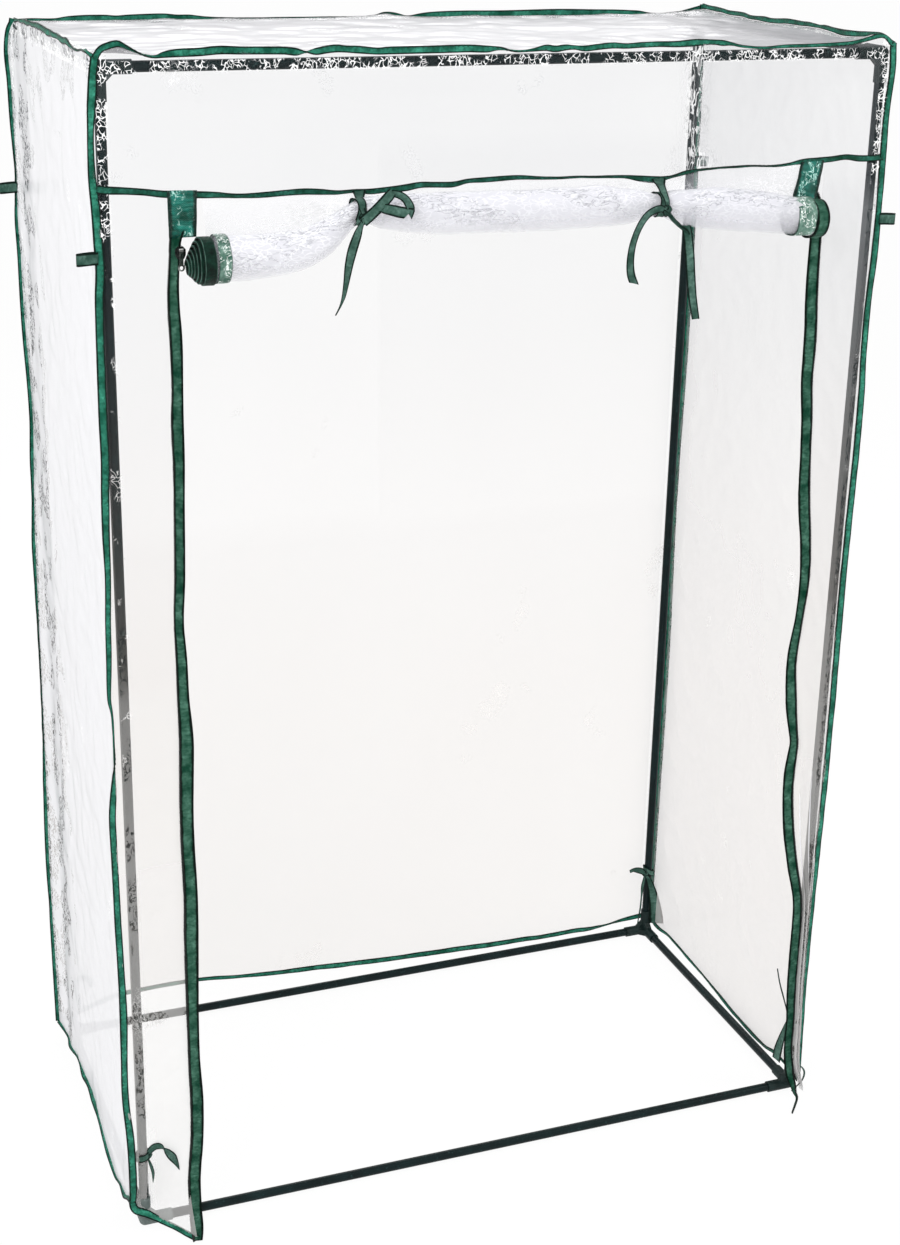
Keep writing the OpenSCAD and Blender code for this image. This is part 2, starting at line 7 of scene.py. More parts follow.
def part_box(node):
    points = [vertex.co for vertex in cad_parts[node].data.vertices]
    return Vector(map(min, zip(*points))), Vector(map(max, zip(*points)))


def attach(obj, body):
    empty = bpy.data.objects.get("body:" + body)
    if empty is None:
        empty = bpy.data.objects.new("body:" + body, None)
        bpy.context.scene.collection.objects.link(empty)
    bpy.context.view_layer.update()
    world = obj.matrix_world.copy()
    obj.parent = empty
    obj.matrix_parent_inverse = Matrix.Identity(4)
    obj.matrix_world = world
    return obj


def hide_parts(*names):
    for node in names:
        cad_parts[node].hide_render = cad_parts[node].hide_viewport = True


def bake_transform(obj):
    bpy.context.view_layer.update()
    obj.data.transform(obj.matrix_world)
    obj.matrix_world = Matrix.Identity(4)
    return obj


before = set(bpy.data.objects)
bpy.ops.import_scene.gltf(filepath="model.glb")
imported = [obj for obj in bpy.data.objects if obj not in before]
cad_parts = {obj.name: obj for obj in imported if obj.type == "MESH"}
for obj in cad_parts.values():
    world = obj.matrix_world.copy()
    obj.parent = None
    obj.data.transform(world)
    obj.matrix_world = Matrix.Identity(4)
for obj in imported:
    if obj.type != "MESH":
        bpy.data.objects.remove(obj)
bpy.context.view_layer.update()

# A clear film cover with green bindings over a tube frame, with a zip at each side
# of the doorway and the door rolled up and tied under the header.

coverBody, doorBody = "frame_and_cover", "door"
alongX, alongY, alongZ = Vector((1, 0, 0)), Vector((0, 1, 0)), Vector((0, 0, 1))
white = (1, 1, 1, 1)


def lowest(node):
    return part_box(node)[0]


def highest(node):
    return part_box(node)[1]


def middle(node):
    return (lowest(node) + highest(node)) / 2


postX = middle("post_lower_front_right").x
postFront = middle("post_lower_front_left").y
postBack = middle("post_lower_back_left").y
midY = (postFront + postBack) / 2
tubeRadius = (highest("post_lower_front_left").x - lowest("post_lower_front_left").x) / 2
railLow, railHigh = middle("rail_front_bottom").z, middle("rail_front_top").z
filmLeft, filmRight = lowest("panel_left").x, highest("panel_right").x
filmFront, filmBack = lowest("panel_header").y, highest("panel_back").y
filmFoot, filmTop = lowest("panel_back").z, highest("panel_top").z
zipInLeft, zipInRight = highest("strip_left").x, lowest("strip_right").x
seamLine = lowest("panel_header").z
rollY = (lowest("roll_bands").y + highest("roll_bands").y) / 2
postMm, frontMm, backMm, rollMm = [
    1000 * at for at in (postX, postFront - midY, postBack - midY, rollY - midY)]


def mm(x, y, z):  # millimetres from the middle of the four posts, on the floor
    return Vector((x / 1000, midY + y / 1000, z / 1000))


def rise(value, low, high):  # 0 below low, 1 above high
    return min(max((value - low) / (high - low), 0.0), 1.0)


def addObject(name, data):
    thing = bpy.data.objects.new(name, data)
    bpy.context.collection.objects.link(thing)
    return thing


# camera, lights and floor

cameraLook = {"from": (-943, -2485, 1721.5), "yaw": 21.3, "pitch": -20.88, "tilt": 1.16, "lens": 59.35}
lightLooks = {
    "keyLight": {"from": (-2.6, -2.6, 3.2), "aim": (0, 0, 0.8), "size": (1.6, 2.4), "watts": 110},
    "fillLight": {"from": (3.0, -1.6, 2.2), "aim": (0, 0, 0.7), "size": (1.2, 2.6), "watts": 50},
    "backLight": {"from": (0.8, 3.2, 2.8), "aim": (0, 0, 0.9), "size": (2.4, 1.4), "watts": 40}}
studioLook = {"dome": 0.8, "seen": 1.0, "floorGlow": 0.94, "floorReach": 60, "filmsInLine": 40}


def placeCamera(look):
    yaw, pitch, tilt = (math.radians(look[key]) for key in ("yaw", "pitch", "tilt"))
    ahead = Vector((math.sin(yaw) * math.cos(pitch), math.cos(yaw) * math.cos(pitch), math.sin(pitch)))
    right = Vector((math.cos(yaw), -math.sin(yaw), 0))
    up = right.cross(ahead)
    turned = Matrix((right * math.cos(tilt) + up * math.sin(tilt),
                     up * math.cos(tilt) - right * math.sin(tilt), -ahead)).transposed()
    lens = bpy.data.cameras.new("camera")
    lens.lens = look["lens"]
    camera = addObject("camera", lens)
    camera.matrix_world = Matrix.Translation(mm(*look["from"])) @ turned.to_4x4()
    bpy.context.scene.camera = camera


def softbox(name, look):
    lamp = bpy.data.lights.new(name, "AREA")
    lamp.shape, lamp.energy = "RECTANGLE", look["watts"]
    lamp.size, lamp.size_y = look["size"]
    box = addObject(name, lamp)
    box.location = look["from"]
    box.rotation_euler = (Vector(look["aim"]) - Vector(look["from"])).to_track_quat("-Z", "Y").to_euler()


placeCamera(cameraLook)
for name, look in lightLooks.items():
    softbox(name, look)
bpy.context.scene.view_settings.view_transform = "Standard"
bpy.context.scene.cycles.transparent_max_bounces = studioLook["filmsInLine"]


# shader helpers: each finds its node tree from the sockets that it is given

def hexColour(code, alpha=1.0):
    parts = [int(code[i:i + 2], 16) / 255 for i in (1, 3, 5)]
    return [p / 12.92 if p <= 0.04045 else ((p + 0.055) / 1.055) ** 2.4 for p in parts] + [alpha]


def newMaterial(name, **sockets):
    material = bpy.data.materials.new(name)
    material.use_nodes = True
    shader = material.node_tree.nodes["Principled BSDF"]
    for socket, value in sockets.items():
        shader.inputs[socket.replace("_", " ")].default_value = value
    return material, material.node_tree, shader


def addNode(tree, kind, inputs=None, **settings):
    node = tree.nodes.new(kind)
    for key, value in settings.items():
        setattr(node, key, value)
    for key, value in (inputs or {}).items():
        if isinstance(value, bpy.types.NodeSocket):
            tree.links.new(value, node.inputs[key])
        else:
            node.inputs[key].default_value = value
    return node


def nodeAfter(kind, inputs, **settings):
    tree = next(value.id_data for value in inputs.values() if isinstance(value, bpy.types.NodeSocket))
    return addNode(tree, kind, inputs, **settings)


def mathOf(operation):
    def worked(a, b=0.0, clamp=False):
        return nodeAfter("ShaderNodeMath", {0: a, 1: b}, operation=operation, use_clamp=clamp).outputs[0]
    return worked


plus, minus, times, over, larger, sizeOf, sine = [mathOf(operation) for operation in (
    "ADD", "SUBTRACT", "MULTIPLY", "DIVIDE", "MAXIMUM", "ABSOLUTE", "SINE")]


def restOf(value):  # what is left of 1
    return minus(1.0, value)


def vectors(operation, *values):
    return nodeAfter("ShaderNodeVectorMath", dict(enumerate(values)), operation=operation).outputs[0]


def ramp(value, fromLow, fromHigh, toLow=0.0, toHigh=1.0):
    return nodeAfter("ShaderNodeMapRange", {"Value": value, "From Min": fromLow, "From Max": fromHigh,
                                            "To Min": toLow, "To Max": toHigh}).outputs["Result"]


def cloudNode(vector, scale, detail=2.0, rough=0.5, distortion=0.0):
    return nodeAfter("ShaderNodeTexNoise", {"Vector": vector, "Scale": scale, "Detail": detail,
                                            "Roughness": rough, "Distortion": distortion}).outputs


def cloud(*settings):
    return cloudNode(*settings)["Fac"]


def mixColour(factor, a, b):  # colours are hex codes or sockets
    a, b = (hexColour(colour) if isinstance(colour, str) else colour for colour in (a, b))
    return nodeAfter("ShaderNodeMix", {"Factor": factor, 6: a, 7: b}, data_type="RGBA").outputs[2]


def moved(vector, offset=(0, 0, 0), stretch=(1, 1, 1)):
    return nodeAfter("ShaderNodeMapping", {"Vector": vector, "Location": offset, "Scale": stretch}).outputs[0]


def feed(shader, **sockets):
    for socket, value in sockets.items():
        shader.id_data.links.new(value, shader.inputs[socket.replace("_", " ")])


def bumped(height, distance):
    return nodeAfter("ShaderNodeBump", {"Height": height, "Distance": distance}).outputs[0]


def objectCoords(tree):
    return addNode(tree, "ShaderNodeTexCoord").outputs["Object"]


def painted(tree, name):  # a number held on the mesh's points
    return addNode(tree, "ShaderNodeAttribute", attribute_name=name).outputs["Fac"]


# clear film: barely there where it lies flat, creased white where it is pressed on a tube (partly painted
# highlights), milky low down, pale as a painted reflection where it is seen along its face, with dark strokes
# of painted shade

def squiggles(coords, scale, width):  # thin curved lines where a cloud crosses its middle level
    return ramp(sizeOf(minus(cloud(coords, scale, 1.5, 0.45, 1.0), 0.5)), width, width * 0.45)


def folds(coords, scale, width):  # thin folds round the cells of crumpled film, broken here and there
    bent = vectors("MULTIPLY_ADD", cloudNode(coords, scale * 0.8, 0.0)["Color"], (1.6 / scale,) * 3, coords)
    gap = nodeAfter("ShaderNodeTexVoronoi", {"Vector": bent, "Scale": scale},
                    feature="DISTANCE_TO_EDGE").outputs["Distance"]
    return times(ramp(gap, width, width * 0.5), ramp(cloud(coords, scale * 0.6, 0.0), 0.33, 0.43))


def scattered(coords, share, scale):  # soft patches that cover about that share of the surface
    return ramp(plus(share, minus(ramp(cloud(coords, scale, 0.0), 0.68, 0.34), 1.0)), 0.0, 0.15)


calmLook = {"below": 1.3, "creased": 0.35, "milk": 0.14, "streaked": 0.85}  # film on the right posts


def tubeZones(tree, reach):  # 1 on the film that lies against a tube, 0 away from them all
    spot = addNode(tree, "ShaderNodeSeparateXYZ", {0: objectCoords(tree)}).outputs
    gaps = [sizeOf(minus(sizeOf(minus(value, middleOf)), spread))
            for value, middleOf, spread in ((spot["X"], 0.0, postX), (spot["Y"], midY, postBack - midY))]
    gaps.append(sizeOf(minus(spot["Z"], railHigh)))
    on = [ramp(gap, tubeRadius + reach, tubeRadius + reach - 0.0015) for gap in gaps]
    near = [ramp(gap, 0.019, 0.015) for gap in gaps]
    zone = 0.0
    for a, b in ((0, 1), (1, 0), (2, 1), (1, 2), (2, 0), (0, 2)):
        zone = larger(times(on[a], near[b]), zone)
    calm = times(ramp(spot["X"], 0.0, 0.01), ramp(spot["Z"], calmLook["below"] + 0.04, calmLook["below"]))
    return zone, spot["Z"], calm


def byHeight(height, rows):  # how creased, milky and streaked the film is from the floor up
    tall = 1.5
    node = nodeAfter("ShaderNodeValToRGB", {0: over(height, tall)})
    stops = node.color_ramp.elements
    while len(stops) < len(rows):
        stops.new(0.5)
    for stop, row in zip(stops, rows):
        stop.position, stop.color = row[0] / tall, (*row[1:], 1)
    return nodeAfter("ShaderNodeSeparateColor", {0: node.outputs[0]}).outputs


def filmMaterial(name, look):
    material, tree, shader = newMaterial(name, Roughness=look["roughness"], IOR=1.45,
                                         Specular_IOR_Level=look["gloss"])
    plainCoords = objectCoords(tree)
    coords = moved(plainCoords, stretch=look["stretch"])
    press, milk, streaked = (painted(tree, mark) for mark in ("press", "milk", "streak"))
    onCover = "toneAndPaintedLight" in look
    creased = press
    if onCover:
        zone, height, calm = tubeZones(tree, look["zoneReach"])
        toneAndPaintedLight = byHeight(height, look["toneAndPaintedLight"])
        worn = times(toneAndPaintedLight["Red"], ramp(calm, 0.0, 1.0, 1.0, calmLook["creased"]))
        creased = times(zone, scattered(coords, worn, 60))
        milk = times(milk, larger(toneAndPaintedLight["Green"], times(calm, calmLook["milk"])))
        onTube = times(larger(toneAndPaintedLight["Blue"], times(calm, calmLook["streaked"])), zone)
        streaked = larger(onTube, streaked)
    # the fine white lines and the folds are partly the film's own whitening in its creases and partly painted
    # highlights on the crinkles
    fine = squiggles(moved(coords, (3.1, 1.7, 0.4)), look["scale"], look["lineWidth"])
    cluster = cloud(coords, look["clusterScale"], 2.0, 0.6)
    cluster = ramp(cluster, look["clusterFrom"], look["clusterFrom"] + 0.1, 0.0, 0.8)
    marks = larger(times(fine, cluster), times(folds(coords, look["foldScale"], look["foldWidth"]), creased))
    # the upright creases are drawn as painted white highlights
    if onCover:  # wavy upright creases over a strip of the header
        upright = squiggles(moved(plainCoords, (0, 0, 1.3), (1, 1, 0.25)), 210, 0.07)
        marks = larger(marks, times(upright, press), clamp=True)
    # dark strokes: they thin the haze and the sheen so that what lies behind shows, and darken the colour
    # with painted shade (dark reflections of the tubes in the wrinkles)
    stroked = moved(plainCoords, (5.3, 0.2, 2.4), look["strokeStretch"])
    dark = squiggles(stroked, look["strokeScale"], look["strokeWidth"])
    strokes = times(dark, scattered(moved(coords, (2, 7, 1)), streaked, 26))
    struck = times(strokes, look["strokeDepth"])
    facing = addNode(tree, "ShaderNodeNewGeometry").outputs["Normal"]
    if onCover:  # the haze follows the lie of the whole panel more than its ripples
        panel = vectors("FLOOR", vectors("ADD", facing, (0.5,) * 3))
        facing = vectors("NORMALIZE", vectors("MULTIPLY_ADD", panel, (4.0,) * 3, facing))
    # the pale colour and opacity where the film is seen along its face are a painted reflection of the white
    # surroundings
    along = nodeAfter("ShaderNodeLayerWeight", {"Blend": 0.5, "Normal": facing}).outputs["Facing"]
    sheen = times(ramp(along, look["sheenFrom"], look["sheenFull"], 0.0, look["sheen"]), restOf(struck))
    veil = times(milk, restOf(struck))
    tint = look["tint"]
    if onCover:  # a warmer cast low down
        tint = mixColour(ramp(height, 0.5, 1.3), look["low"], tint)
    tint = mixColour(times(veil, 2.5, clamp=True), tint, look["milky"])
    # the painted reflection is darker where the film is seen most nearly edge on, as on the top
    glancing = mixColour(ramp(along, 0.86, 0.91), look["sheenPale"], look["sheenDeep"])
    tint = mixColour(times(sheen, 1.4, clamp=True), tint, glancing)
    # painted shade along the dark strokes
    tint = mixColour(struck, tint, look["paintedStrokeShade"])
    haze = ramp(cloud(coords, 4.0, 1.0), 0.35, 0.7, look["alpha"] * 0.85, look["alpha"] * 1.15)
    haze = larger(haze, times(strokes, look["strokeShadeAlpha"]))
    if onCover:  # little haze shows where the film lies against a tube
        haze = times(haze, restOf(times(zone, 0.75)))
    clear = times(times(restOf(haze), restOf(veil)), restOf(sheen))
    alpha = minus(1.0, times(clear, restOf(times(marks, look["creaseAlpha"]))), clamp=True)
    waves = cloud(coords, look["waveScale"], 2.0, 0.5, 0.6)
    # the white of the crease lines, partly painted highlights
    feed(shader, Base_Color=mixColour(marks, tint, look["crease"]), Alpha=alpha,
         Normal=bumped(waves, look["bump"]))
    return material


# in both looks the crease colour is the white of the crease lines, partly painted highlights, the stroke
# colour is painted shade, and the sheen colours are a painted reflection
filmLook = {"tint": "#a6a7ad", "low": "#bba797", "milky": "#d5d7d8", "crease": "#ffffff", "paintedStrokeShade": "#55595c",
            "sheenPale": "#dbdbde", "sheenDeep": "#929297", "sheen": 0.88, "sheenFrom": 0.45,
            "sheenFull": 0.75, "alpha": 0.085, "creaseAlpha": 0.8, "gloss": 0.1, "roughness": 0.25,
            "bump": 0.0003, "waveScale": 24, "scale": 170, "lineWidth": 0.05, "foldScale": 190,
            "foldWidth": 0.09, "clusterScale": 9, "clusterFrom": 0.67, "stretch": (1, 1, 0.85),
            "strokeStretch": (1, 1, 0.6), "strokeScale": 150, "strokeWidth": 0.06, "strokeDepth": 0.65,
            "strokeShadeAlpha": 0.22, "zoneReach": 0.001, "toneAndPaintedLight": [
                (0, 0, 0.32, 0.4), (0.5, 0, 0.31, 0.45), (0.58, 0.05, 0.28, 0.8), (0.75, 0.1, 0.24, 0.8),
                (0.8, 0.1, 0.08, 0.4), (1.02, 0.1, 0.02, 0.5), (1.24, 0.15, 0, 0.5), (1.29, 0.88, 0, 0.5),
                (1.446, 0.95, 0, 0.5), (1.454, 0.15, 0.03, 0.4), (1.474, 0.15, 0.03, 0.4),
                (1.48, 0.97, 0, 0.6), (1.5, 0.97, 0, 0.6)]}
woundLook = {"tint": "#e4e4ea", "milky": "#e4e4ea", "crease": "#ffffff", "paintedStrokeShade": "#8d9096",
             "sheenPale": "#e2e2e9", "sheenDeep": "#d8d8df", "sheen": 0.18, "sheenFrom": 0.35,
             "sheenFull": 0.8, "alpha": 0.03, "creaseAlpha": 0.6, "gloss": 0.2, "roughness": 0.3,
             "bump": 0.0005, "waveScale": 34, "scale": 170, "lineWidth": 0.045, "foldScale": 210,
             "foldWidth": 0.1, "clusterScale": 14, "clusterFrom": 0.6, "stretch": (0.5, 1, 1),
             "strokeStretch": (0.35, 1, 1), "strokeScale": 180, "strokeWidth": 0.05, "strokeDepth": 0.5,
             "strokeShadeAlpha": 0.15}


# woven tape of the bindings, zips and ribbons: threads across, dark turned edges with painted shade, a paler
# tone and painted highlights

plainTape = {"gloss": 0.22, "rim": 0.33, "pucker": 2.2, "opacity": 1.0, "paintedGlint": None}
bindingColours = {"body": "#0b5743", "paleToneAndHighlight": "#48aa8e", "edge": "#010c08", "roughness": 0.42, "rib": 42,
                  "gloss": 0.12, "rim": 0.27}
tapeLooks = {
    "bindingTape": bindingColours,
    "seamTape": dict(bindingColours, body="#07422f", paleToneAndHighlight="#3c8a77"),
    "ribbonTape": {"body": "#2b4b40", "paleToneAndHighlight": "#6a8d81", "edge": "#03100b", "roughness": 0.62, "rib": 36,
                   "gloss": 0.06, "rim": 0.3},
    "zipTape": {"body": "#0a3c2b", "paleToneAndHighlight": "#568471", "edge": "#000403", "roughness": 0.5, "rib": 40,
                "gloss": 0.05, "rim": 0.27},
    # the rolled edge tape is near black, painted shade between its turns, with a lighter edge colour, a
    # painted highlight on the rims of the turns
    "rolledEdgeTape": {"body": "#02130d", "paleToneAndHighlight": "#174536", "edge": "#567a6e", "roughness": 0.45, "rib": 40,
                       "gloss": 0.1, "rim": 0.43},
    "patchTape": {"body": "#023c30", "paleToneAndHighlight": "#2a8f80", "edge": "#011c15", "roughness": 0.2, "rib": 30,
                  "gloss": 0.2, "paintedGlint": "#b9e6dc", "glintScale": 190, "glintFrom": 0.5},
    "veiledTape": {"body": "#2c5848", "paleToneAndHighlight": "#8fb2a4", "edge": "#123226", "roughness": 0.3, "rib": 18,
                   "rim": 0.42, "pucker": 0.6, "opacity": 0.94, "paintedGlint": "#f4fcf8", "glintScale": 230,
                   "glintFrom": 0.42}}


def tapeMaterial(name, look):
    look = dict(plainTape, **look)
    material, tree, shader = newMaterial(name, Alpha=look["opacity"], Specular_IOR_Level=look["gloss"])
    coords = objectCoords(tree)
    uv = addNode(tree, "ShaderNodeUVMap", uv_map="tape").outputs["UV"]
    across, along = nodeAfter("ShaderNodeSeparateXYZ", {0: uv}).outputs[:2]
    wander = ramp(cloud(coords, 90, 2.0), 0.3, 0.7, -0.03, 0.03)
    # the band darkens towards its turned edges with the edge colour: painted shade along both edges, partly
    # the darker fold of the tape
    edge = ramp(plus(sizeOf(minus(across, 0.5)), wander), look["rim"], look["rim"] + 0.08, 0.0, 0.95)
    weave = times(sine(times(along, look["rib"])), sine(times(across, 75.0)))
    blotches = ramp(cloud(coords, 60, 3.0, 0.6), 0.34, 0.7)
    puckers = ramp(cloud(moved(uv, stretch=(1.5, look["pucker"], 1)), 1.0, 2.0, 0.6, 0.5), 0.3, 0.72)
    # the paler colour mixed in by blotches, weave and puckers is partly the tape's own tone and partly
    # painted highlights on the weave and the pucker crests
    toneAndPaintedLight = times(times(blotches, ramp(weave, -0.8, 1.0, 0.5, 1.0)), ramp(puckers, 0.0, 1.0, 0.35, 1.6),
                 clamp=True)
    body = mixColour(toneAndPaintedLight, look["body"], look["paleToneAndHighlight"])
    # painted glints: bright lines drawn into the colour of the glossy patch and the veiled tape
    if look["paintedGlint"]:  # bright glints in the glossy tape
        glintLines = squiggles(moved(coords, (1, 4, 2), (1, 1, 0.6)), look["glintScale"], 0.04)
        few = ramp(cloud(coords, look["glintScale"] * 0.4), look["glintFrom"], look["glintFrom"] + 0.08)
        body = mixColour(times(glintLines, few), body, look["paintedGlint"])
    rough = ramp(blotches, 0.0, 1.0, look["roughness"] * 0.75, look["roughness"] * 1.3)
    feed(shader, Base_Color=mixColour(edge, body, look["edge"]), Roughness=rough,
         Normal=bumped(plus(weave, times(puckers, 4.0)), 0.0003))
    return material


# smooth coats with a fine grain, cloudy tone and rubbed spots

plainPaint = {"coat": 0.0, "metal": 0.0, "gloss": 0.3, "toneScale": 45, "grain": 900, "grainDepth": 0.00006}
paintLooks = {
    "tubePaint": {"body": "#0b1e1f", "dark": "#071314", "rubbed": "#274140", "roughness": 0.35, "coat": 0.03,
                  "gloss": 0.12, "toneScale": 26, "grain": 420, "grainDepth": 0.00008},
    "connectorPlastic": {"body": "#1d2c2b", "dark": "#121e1d", "rubbed": "#3a4b49", "roughness": 0.45,
                         "gloss": 0.15},
    # a paler copy of the connector plastic for the front left foot, with the white floor's reflection painted
    # into its colour
    "floorReflectionPlastic": {"body": "#6a7472", "dark": "#4f5957", "rubbed": "#89918f", "roughness": 0.5},
    "sliderMetal": {"body": "#3a3f3d", "dark": "#1a1d1c", "rubbed": "#b9bcba", "roughness": 0.28,
                    "metal": 0.8, "gloss": 0.5, "toneScale": 220, "grain": 1500, "grainDepth": 0.00003},
    "zipMetal": {"body": "#d6d6d4", "dark": "#a9aaa8", "rubbed": "#f2f2f0", "roughness": 0.2, "metal": 1.0,
                 "gloss": 0.5, "toneScale": 160, "grain": 1500, "grainDepth": 0.00003},
    "stitchThread": {"body": "#124a37", "dark": "#082b1f", "rubbed": "#2c7a5e", "roughness": 0.65,
                     "toneScale": 300, "grain": 1400, "grainDepth": 0.0001},
    "coilPlastic": {"body": "#0d1613", "dark": "#050a08", "rubbed": "#2a3a34", "roughness": 0.4,
                    "toneScale": 200, "grain": 1200, "grainDepth": 0.00005}}


def paintMaterial(name, look):
    look = dict(plainPaint, **look)
    material, tree, shader = newMaterial(name, Coat_Weight=look["coat"], Coat_Roughness=0.15,
                                         Metallic=look["metal"], Specular_IOR_Level=look["gloss"])
    coords = objectCoords(tree)
    tone = ramp(cloud(coords, look["toneScale"], 4.0, 0.6), 0.35, 0.7)
    rubbed = ramp(cloud(coords, look["toneScale"] * 8, 2.0), 0.66, 0.74, 0.0, 0.5)
    feed(shader, Base_Color=mixColour(rubbed, mixColour(tone, look["dark"], look["body"]), look["rubbed"]),
         Roughness=ramp(tone, 0.0, 1.0, look["roughness"] * 0.8, look["roughness"] * 1.25),
         Normal=bumped(cloud(coords, look["grain"], 2.0), look["grainDepth"]))
    return material


clearFilm, woundFilm = filmMaterial("clearFilm", filmLook), filmMaterial("woundFilm", woundLook)
bindingTape, seamTape, ribbonTape, zipTape, rolledEdgeTape, patchTape, veiledTape = [
    tapeMaterial(name, look) for name, look in tapeLooks.items()]
tubePaint, connectorPlastic, floorReflectionPlastic, sliderMetal, zipMetal, stitchThread, coilPlastic = [
    paintMaterial(name, look) for name, look in paintLooks.items()]


def whiteSeen(tree):  # 1 for the rays of the camera, gloss and glass, 0 for the rest
    path = addNode(tree, "ShaderNodeLightPath").outputs
    return plus(plus(path["Is Camera Ray"], path["Is Glossy Ray"]), path["Is Transmission Ray"], clamp=True)


def whiteStudio(look):  # the camera, gloss and glass see white; the rest is lit by a soft grey dome
    world = bpy.data.worlds.new("studio")
    bpy.context.scene.world = world
    world.use_nodes = True
    background = world.node_tree.nodes["Background"]
    background.inputs["Color"].default_value = white
    feed(background, Strength=ramp(whiteSeen(world.node_tree), 0.0, 1.0, look["dome"], look["seen"]))

    material, tree, shader = newMaterial("floorPaper", Roughness=0.9)
    feed(shader, Base_Color=mixColour(cloud(objectCoords(tree), 3.0, 3.0), "#f4f4f3", "#f7f7f6"))
    glow = addNode(tree, "ShaderNodeEmission", {"Color": white, "Strength": 1.0})
    paper = nodeAfter("ShaderNodeMixShader", {0: times(whiteSeen(tree), look["floorGlow"]),
                                              1: shader.outputs[0], 2: glow.outputs[0]})
    feed(tree.nodes["Material Output"], Surface=paper.outputs[0])
    mesh = bpy.data.meshes.new("floor")
    angles = [a * math.tau / 48 for a in range(48)]
    reach = look["floorReach"]
    mesh.from_pydata([(reach * math.cos(a), reach * math.sin(a), 0) for a in angles], [], [list(range(48))])
    mesh.materials.append(material)
    addObject("floor", mesh)


whiteStudio(studioLook)
print("camera, lights and materials made")


# mesh helpers

def between(knots, rows, at):  # a row's numbers at a place between its neighbours, on one smooth curve
    i = 0
    while i < len(knots) - 2 and knots[i + 1] <= at:
        i += 1
    before, after = max(i - 1, 0), min(i + 2, len(rows) - 1)
    reach = knots[i + 1] - knots[i]
    f = rise(at, knots[i], knots[i + 1])
    out = []
    for a, b, c, d in zip(rows[before], rows[i], rows[i + 1], rows[after]):
        leave = (c - a) / (knots[i + 1] - knots[before]) * reach
        arrive = (d - b) / (knots[after] - knots[i]) * reach
        out.append((2 * f ** 3 - 3 * f * f + 1) * b + (f ** 3 - 2 * f * f + f) * leave
                   + (3 * f * f - 2 * f ** 3) * c + (f ** 3 - f * f) * arrive)
    return out


def distances(rows, least=0.0):  # how far each row's place is along the line through them all
    walked = [0.0]
    for a, b in zip(rows, rows[1:]):
        walked.append(walked[-1] + max(math.dist(a[:3], b[:3]), least))
    return walked


def evenRows(rows, step):  # rows of x, y, z and more, smoothed and set at even steps
    knots = distances(rows, 1e-6)
    fine = 12 * len(rows)
    dense = [between(knots, rows, knots[-1] * k / fine) for k in range(fine + 1)]
    walked = distances(dense)
    count = max(round(walked[-1] / step), 3)
    out, k = [], 0
    for n in range(count + 1):
        want = walked[-1] * n / count
        while k < len(walked) - 2 and walked[k + 1] < want:
            k += 1
        f = (want - walked[k]) / max(walked[k + 1] - walked[k], 1e-9)
        out.append([p + (q - p) * f for p, q in zip(dense[k], dense[k + 1])])
    return out


def fromMiddle(rows):  # rows of x, y, z in mm from the middle, share of width, twist and slant of a cut end
    return [list(mm(*row[:3])) + list(row[3:]) + [1.0, 0.0, 0.0][len(row) - 3:] for row in rows]


def newShape():
    shape = bmesh.new()
    shape.loops.layers.uv.new("tape")
    return shape


def addPiece(name, mesh, materials, body, nodes, slot):
    mesh.polygons.foreach_set("use_smooth", [True] * len(mesh.polygons))
    for material in materials:
        mesh.materials.append(material)
    piece = addObject(name, mesh)
    if body:
        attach(piece, body)
    if nodes:
        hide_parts(*nodes)
    return piece


def finishPiece(name, shape, materials, body, nodes, slot):
    bmesh.ops.recalc_face_normals(shape, faces=shape.faces)
    mesh = bpy.data.meshes.new(name)
    shape.to_mesh(mesh)
    shape.free()
    return addPiece(name, mesh, materials, body, nodes, slot)


def gridMesh(name, points, columns, rows, paints):  # one sheet of quads with numbers painted on its points
    wide = columns + 1
    faces = [(j * wide + i, j * wide + i + 1, (j + 1) * wide + i + 1, (j + 1) * wide + i)
             for j in range(rows) for i in range(columns)]
    mesh = bpy.data.meshes.new(name)
    mesh.from_pydata(points, [], faces)
    for painting, values in zip(("press", "streak", "milk"), paints):
        mesh.attributes.new(painting, "FLOAT", "POINT").data.foreach_set("value", values)
    return mesh


tapeSection = [(-1, 0), (-0.93, 1), (-0.5, 1), (0, 1), (0.5, 1), (0.93, 1),
               (1, 0), (0.93, -1), (0.5, -1), (0, -1), (-0.5, -1), (-0.93, -1)]
plainBand = {"ripple": 0.0, "curl": 0.0, "seed": 0.0}


